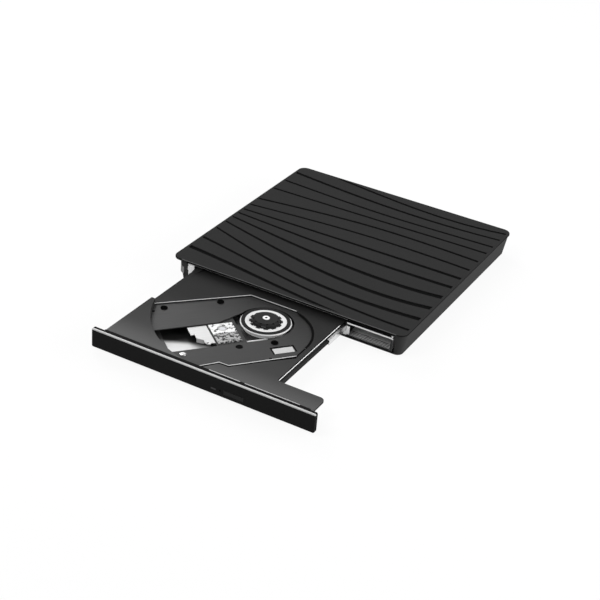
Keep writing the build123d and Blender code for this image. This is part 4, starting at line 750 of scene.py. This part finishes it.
def arc(centre, radius, start, stop, step):
    """Places on an arc, from one angle up to another, in degrees."""
    turns = [math.radians(turn) for turn in range(start, stop, step)]
    return [(centre[0] + radius * math.cos(a), centre[1] + radius * math.sin(a)) for a in turns]


print("strip helpers ready")

# %% [markdown]
# ## Round the tray's opening
# The plate over the mechanism and the tray are nearly the same grey. What tells them apart is a rib
# along the front of the opening, with a black strip before it as painted shade, a fine pale bead
# along the back as a painted highlight, and a black strip round the right side as painted shade in
# the gap. A rib that really stands up catches the light from every side, where a painted line would
# stay flat; its pale grey adds a painted highlight along its top.

# %% Rib, bead and joint
RECESS = 9.8
PLATE_FACE = 9.2
REAR_EDGE = [(10.3, -34.975), (-18.05, -34.975), (-56.3, -74.925)]
FRONT_RIB = [(-3.54, -111.31), (3.27, -101.6), (8.76, -101.41), (32.13, -73.54)]
JOINT_CENTRE = (3.0, -64.2)
JOINT_RADIUS = 29.4
# Pale beads on the rear edge and along the front rib: painted highlights.
strip(
    "opening_bead_rear", [REAR_EDGE], RECESS, rounded_section(0.4, 0.15), highlight_grey, "tray",
)
strip(
    "opening_bead_front", [FRONT_RIB], PLATE_FACE, rounded_section(0.7, 0.75), highlight_grey, "tray",
)
# Black strips before the rib and in the gap round the right side: painted shade.
joint = bmesh.new()
swept(joint, FRONT_RIB, PLATE_FACE, flat_section(-1.25, -0.4, -0.05, 0.64))
swept(joint, arc(JOINT_CENTRE, JOINT_RADIUS, 0, 78, 6), RECESS, rounded_section(1.3, 0.03))
swept(joint, along_y(32.4, -74.2, -65.0), RECESS, rounded_section(0.8, 0.03))
to_piece("opening_shade", joint, seam_and_shade_black, "tray")
print("opening made")

# %% [markdown]
# ## Bright and dark edges
# Light catches the back of the panel's lip, the tray's right edge, the bevel of the case's front and
# the rounded left corner of its mouth, and pale strips paint these highlights. A dark gap runs
# beside the tray's edge, and the face under the case's bevel lies in shade, and black strips paint
# that shade. On the object these are tiny radii and gaps. A strip a few tenths of a millimetre wide
# shows them from any side, and it stays sharp when the camera comes near.

# %% Edges of the lip, the tray and the case
LIP_TOP = 13.0
LIP_BACK = -114.45
BEVEL_LEVEL = 14.08
LIP_FACE_LEVEL = 13.25
CORNER_CENTRE = (-62.26, -21.55)
CORNER_RADIUS = 8.9
JAMB_FOOT = 4.8
JAMB_HEIGHT = 7.2
TRAY_SIDE = 36.18
TRAY_GAP = 35.65
CASE_BEVEL = -31.05
CASE_FACE = -31.25
# Pale strips on the panel's lip and the tray's right edge: painted highlights.
strip(
    "panel_lip_line", [along_x(5.5, 23.4, LIP_BACK), along_x(26.1, 57.0, LIP_BACK)], LIP_TOP,
    rounded_section(0.4, 0.08, 0.05), highlight_grey, "tray",
)
strip(
    "tray_edge_bead", [along_y(TRAY_SIDE, -98.3, -34.0)], RECESS, rounded_section(0.42, 0.12),
    white_and_highlight, "tray",
)
# A black strip beside the tray's edge: painted shade in the gap.
strip(
    "tray_edge_shade", [along_y(TRAY_GAP, -98.0, -34.0)], RECESS, rounded_section(0.6, 0.04),
    seam_and_shade_black, "tray",
)
# A pale strip on the case's front bevel and a black one under it: a painted highlight and painted
# shade.
strip(
    "case_front_line", [along_x(-66.0, 67.5, CASE_BEVEL)], BEVEL_LEVEL,
    rounded_section(0.3, 0.28, 0.0), bevel_highlight_grey, "case",
)
strip(
    "case_lip_shade", [along_x(-62.8, 66.3, CASE_FACE)], LIP_FACE_LEVEL,
    flat_section(-0.04, 0.04, 0.0, 0.65), seam_and_shade_black, "case",
)
# A grey strip round the mouth's rounded left corner: a painted highlight.
strip(
    "left_jamb", [arc(CORNER_CENTRE, CORNER_RADIUS, 228, 256, 4)], JAMB_FOOT,
    flat_section(-0.12, 0.12, 0.0, JAMB_HEIGHT), corner_highlight_grey, "case",
)
print("edges made")

# %% [markdown]
# ## The mouth beside the tray
# Right of the tray the mouth stands open. Fine plastic ridges run across its floor, and a small cap
# covers the raw edge of the steel wall beside them. The ridges share one section, so two loops place
# them all: two on the front edge and four in rows behind it.

# %% Ridges and side cap
DRIVE_FRONT = -30.525
WING_SIDE = 39.0
CAP_FOOT = 3.4
CAP_HEIGHT = 6.6
RIDGE_FLOOR = 3.85
RIDGE = [(-0.14, 0.0), (-0.14, 0.2), (-0.05, 0.32), (0.05, 0.32), (0.14, 0.2), (0.14, 0.0)]
ridges = bmesh.new()
for level in (3.25, 3.75):
    swept(ridges, along_x(WING_SIDE, 65.3, DRIVE_FRONT - 0.2), level, RIDGE)
for depth in (0.5, 1.8, 3.1, 4.4):
    swept(ridges, along_x(WING_SIDE, 64.9, DRIVE_FRONT + depth), RIDGE_FLOOR, RIDGE)
to_piece("mouth_strip", ridges, part_black, "case")
strip(
    "mouth_side", [along_x(64.75, 65.95, DRIVE_FRONT - 0.22)], CAP_FOOT,
    [
        (-0.18, 0.1), (-0.18, CAP_HEIGHT - 0.1), (-0.1, CAP_HEIGHT), (0.18, CAP_HEIGHT),
        (0.18, 0.0), (-0.1, 0.0),
    ],
    dark_trim, "case",
)
print("mouth made")

# %% [markdown]
# ## The hub and small parts of the mechanism
# The hub's boss is a white ring round the dark end of the shaft, and twelve lugs stand round its foot.
# A bright screw holds the plate, a rod ends beside the spindle, and a bright rib stands on the frame
# below it. The feed motor's pale label shows through a window with a black rim, and black discs
# under two holes of the plate paint the shade inside them. The round ones are turned from a short
# profile and the others are strips.

# %% Hub, screw, rod, window and plugs
SPINDLE = (2.3, -53.725)
MOTOR_TOP = 8.6
FRAME_TOP = 5.9
WINDOW = [(21.93, -77.84), (17.75, -74.27), (25.21, -65.53), (29.39, -69.1)]
LUGS = 12
LUG_FOOT = 9.7
LUG_REACH = (7.3, 8.95)
LUG_SECTION = [(-1.3, 0.0), (-1.25, 0.33), (-0.9, 0.42), (0.9, 0.42), (1.25, 0.33), (1.3, 0.0)]
turning(
    "plate_screw", (-15.7, -105.6),
    [(1.55, 9.1), (1.65, 9.25), (1.6, 9.5), (1.3, 9.66), (0.7, 9.7), (0.5, 9.45), (0.15, 9.45)],
    bright_metal, "tray",
)
turning(
    "hub_boss", SPINDLE, [(1.9, 11.8), (1.9, 12.1), (1.8, 12.16), (0.8, 12.16), (0.7, 12.02)],
    white_and_highlight, "spindle",
)
turning(
    "hub_core", SPINDLE, [(0.68, 12.0), (0.68, 12.06), (0.6, 12.08)], seam_and_shade_black, "spindle",
)
turning(
    "rod_tip", (-16.53, -58.66), [(0.5, 7.2), (0.6, 7.5), (0.5, 7.8), (0.2, 7.95)], white_and_highlight,
    "tray", steps=20,
)
strip(
    "frame_rib", [[(2.1, -72.3), (9.4, -63.67)]], FRAME_TOP, rounded_section(1.1, 0.9), white_and_highlight,
    "tray",
)
strip(
    "window_frame", [WINDOW], PLATE_FACE, flat_section(0.02, 0.75, -0.05, 0.05), seam_and_shade_black, "tray",
)
strip(
    "motor_label", [[(20.03, -75.84), (27.1, -67.5)]], MOTOR_TOP, flat_section(-2.4, 2.4, 0.0, 0.45),
    label_grey, "tray",
)
# Black discs just under two holes of the plate: painted shade inside the holes.
hole_shades = bmesh.new()
turned(hole_shades, (3.58, -82.55), [(1.95, 8.75), (1.95, 8.85), (1.9, 8.9)])
turned(hole_shades, (-51.6, -79.8), [(0.9, 9.15), (0.9, 9.22), (0.85, 9.24)])
to_piece("plate_holes", hole_shades, seam_and_shade_black, "tray")
lugs = bmesh.new()
for lug in range(LUGS):
    angle = 2 * math.pi * lug / LUGS
    way = Vector((math.cos(angle), math.sin(angle)))
    swept(lugs, [Vector(SPINDLE) + way * reach for reach in LUG_REACH], LUG_FOOT, LUG_SECTION)
to_piece("hub_lugs", lugs, hub_black, "spindle")
print("small parts made")

# %% [markdown]
# ## The floor
# The photograph has a plain white ground. The floor is white to the camera and to mirrors, and an
# ordinary pale surface to everything else, so a soft shadow stays on it. A plain white sheet would
# turn grey wherever the light is weak.

# %% Floor
def white_ground(name, shadow_share, bounce):
    """White for camera and mirror rays with a share of real shading; darker to soft bounces."""
    material = bpy.data.materials.new(name)
    material.use_nodes = True
    tree = material.node_tree
    tree.nodes.clear()
    output = add_node(tree, "ShaderNodeOutputMaterial")
    plain = add_node(tree, "ShaderNodeBsdfDiffuse")
    tone = add_node(tree, "ShaderNodeMapRange", To_Min=bounce, To_Max=0.9)
    glow = add_node(tree, "ShaderNodeEmission", Color=(1, 1, 1, 1), Strength=1.0)
    rays = add_node(tree, "ShaderNodeLightPath")
    either = add_node(tree, "ShaderNodeMath", operation="MAXIMUM")
    both = add_node(tree, "ShaderNodeMath", operation="MAXIMUM")
    share = add_node(tree, "ShaderNodeMath", operation="MULTIPLY")
    share.inputs[1].default_value = 1.0 - shadow_share
    mix = add_node(tree, "ShaderNodeMixShader")
    tree.links.new(rays.outputs["Is Camera Ray"], either.inputs[0])
    tree.links.new(rays.outputs["Is Glossy Ray"], either.inputs[1])
    tree.links.new(either.outputs[0], both.inputs[0])
    tree.links.new(rays.outputs["Is Transmission Ray"], both.inputs[1])
    tree.links.new(both.outputs[0], tone.inputs["Value"])
    tree.links.new(tone.outputs["Result"], plain.inputs["Color"])
    tree.links.new(both.outputs[0], share.inputs[0])
    tree.links.new(share.outputs[0], mix.inputs["Fac"])
    tree.links.new(plain.outputs[0], mix.inputs[1])
    tree.links.new(glow.outputs[0], mix.inputs[2])
    tree.links.new(mix.outputs[0], output.inputs["Surface"])
    return material


floor_mesh = bpy.data.meshes.new("floor")
floor_build = bmesh.new()
bmesh.ops.create_grid(floor_build, x_segments=1, y_segments=1, size=3.0)
floor_build.to_mesh(floor_mesh)
floor_build.free()
floor = bpy.data.objects.new("floor", floor_mesh)
floor.location.z = cad_low[2]
bpy.context.scene.collection.objects.link(floor)
floor_mesh.materials.append(white_ground("floor_white", 0.1, 0.3))
print("floor at", floor.location.z)

# %% [markdown]
# ## A white horizon under a grey ceiling
# The camera sees plain white all round. Glossy faces see that white near the horizon and a grey
# ceiling above it, as in a studio, so flat tops stay dark and upright bevels catch a bright line.

# %% World
HORIZON = 0.30
CEILING = 0.50
world = bpy.data.worlds.new("studio")
bpy.context.scene.world = world
world.use_nodes = True
world_tree = world.node_tree
world_tree.nodes.clear()
world_out = add_node(world_tree, "ShaderNodeOutputWorld")
world_soft = add_node(world_tree, "ShaderNodeBackground", Color=(1, 1, 1, 1), Strength=0.45)
world_white = add_node(world_tree, "ShaderNodeBackground", Color=(1, 1, 1, 1), Strength=1.0)
world_rays = add_node(world_tree, "ShaderNodeLightPath")
world_way = add_node(world_tree, "ShaderNodeTexCoord")
world_split = add_node(world_tree, "ShaderNodeSeparateXYZ")
world_low = add_node(
    world_tree, "ShaderNodeMapRange", From_Min=HORIZON, From_Max=CEILING, To_Min=1.0, To_Max=0.0
)
world_mirror = add_node(world_tree, "ShaderNodeMath", operation="MAXIMUM")
world_seen = add_node(world_tree, "ShaderNodeMath", operation="MULTIPLY")
world_any = add_node(world_tree, "ShaderNodeMath", operation="MAXIMUM")
world_mix = add_node(world_tree, "ShaderNodeMixShader")
world_tree.links.new(world_way.outputs["Generated"], world_split.inputs[0])
world_tree.links.new(world_split.outputs["Z"], world_low.inputs["Value"])
world_tree.links.new(world_rays.outputs["Is Glossy Ray"], world_mirror.inputs[0])
world_tree.links.new(world_rays.outputs["Is Transmission Ray"], world_mirror.inputs[1])
world_tree.links.new(world_mirror.outputs[0], world_seen.inputs[0])
world_tree.links.new(world_low.outputs["Result"], world_seen.inputs[1])
world_tree.links.new(world_seen.outputs[0], world_any.inputs[0])
world_tree.links.new(world_rays.outputs["Is Camera Ray"], world_any.inputs[1])
world_tree.links.new(world_any.outputs[0], world_mix.inputs["Fac"])
world_tree.links.new(world_soft.outputs[0], world_mix.inputs[1])
world_tree.links.new(world_white.outputs[0], world_mix.inputs[2])
world_tree.links.new(world_mix.outputs[0], world_out.inputs["Surface"])
print("world", world.name)

# %% [markdown]
# ## The lamps
# Four wide soft boxes light the object evenly: one from the front left, two from behind for a sheen
# on the waves, and one from the right for the side walls. Three small spots lift what the plate and
# the mouth leave in shadow, as a photographer's reflectors would: the mouth, the rotor's side and
# the front of the tray.

# %% Lamps
def aimed(name, lamp, place, aim):
    """A lamp in its place, turned to look at a point."""
    holder = bpy.data.objects.new(name, lamp)
    holder.location = place
    holder.rotation_euler = (Vector(aim) - Vector(place)).to_track_quat("-Z", "Y").to_euler()
    bpy.context.scene.collection.objects.link(holder)


def soft_box(name, place, aim, size, power):
    """A square area lamp that looks at a point."""
    lamp = bpy.data.lights.new(name, "AREA")
    lamp.shape = "SQUARE"
    lamp.size = size
    lamp.energy = power
    aimed(name, lamp, place, aim)


def soft_spot(name, place, aim, spread, power):
    """A spot lamp with a fully soft rim."""
    lamp = bpy.data.lights.new(name, "SPOT")
    lamp.energy = power
    lamp.spot_size = spread
    lamp.spot_blend = 1.0
    lamp.shadow_soft_size = 0.08
    aimed(name, lamp, place, aim)


soft_box("key_front_left", (-0.47, -0.60, 0.92), (0, 0, 0), 0.5, 4.0)
soft_box("back_left", (-0.81, 0.47, 0.58), (0, 0, 0), 0.6, 6.0)
soft_box("back_right", (0.75, 0.70, 0.42), (0.03, -0.06, 0), 0.4, 3.0)
soft_box("side_right", (1.0, 0.15, 0.35), (0.07, 0.06, 0), 0.5, 7.0)
soft_spot("mouth_front", (0.20, -0.62, 0.18), (0.052, -0.03, 0.0085), math.radians(9), 0.7)
soft_spot("rotor_side", (0.16, -0.62, 0.40), (0.0, -0.066, 0.007), math.radians(5), 2.2)
soft_spot("tray_front", (-0.30, -0.62, 0.55), (-0.01, -0.115, 0.01), math.radians(16), 3.0)

# %% [markdown]
# ## The camera
# The camera was solved from the straight edges of the case and the front panel in the picture: where
# it looks, how far away it stands, how it is turned about its own axis, and its focal length. Edges
# that are known to be straight fix a camera far better than trying views by eye.

# %% Camera
VIEW_TURN = math.radians(26.868)
VIEW_RISE = math.radians(30.348)
VIEW_ROLL = math.radians(5.127)
VIEW_DISTANCE = 0.764929
VIEW_TARGET = Vector((0.0055626, -0.0227970, 0.0093473))
SENSOR = 36.0
FOCAL_PIXELS = 1406.585
PICTURE_WIDTH = 600
back = Vector(
    (
        math.sin(VIEW_TURN) * math.cos(VIEW_RISE),
        -math.cos(VIEW_TURN) * math.cos(VIEW_RISE),
        math.sin(VIEW_RISE),
    )
)
right = Vector((0, 0, 1)).cross(back).normalized()
up = back.cross(right)
right_turned = right * math.cos(VIEW_ROLL) + up * math.sin(VIEW_ROLL)
up_turned = up * math.cos(VIEW_ROLL) - right * math.sin(VIEW_ROLL)
lens = bpy.data.cameras.new("camera")
lens.sensor_width = SENSOR
lens.lens = FOCAL_PIXELS * SENSOR / PICTURE_WIDTH
camera = bpy.data.objects.new("camera", lens)
place = VIEW_TARGET + back * VIEW_DISTANCE
axes = Matrix((right_turned, up_turned, back)).transposed().to_4x4()
camera.matrix_world = Matrix.Translation(place) @ axes
bpy.context.scene.collection.objects.link(camera)
bpy.context.scene.camera = camera
bpy.context.scene.view_settings.view_transform = "Standard"
print("camera at", [round(v, 4) for v in place])
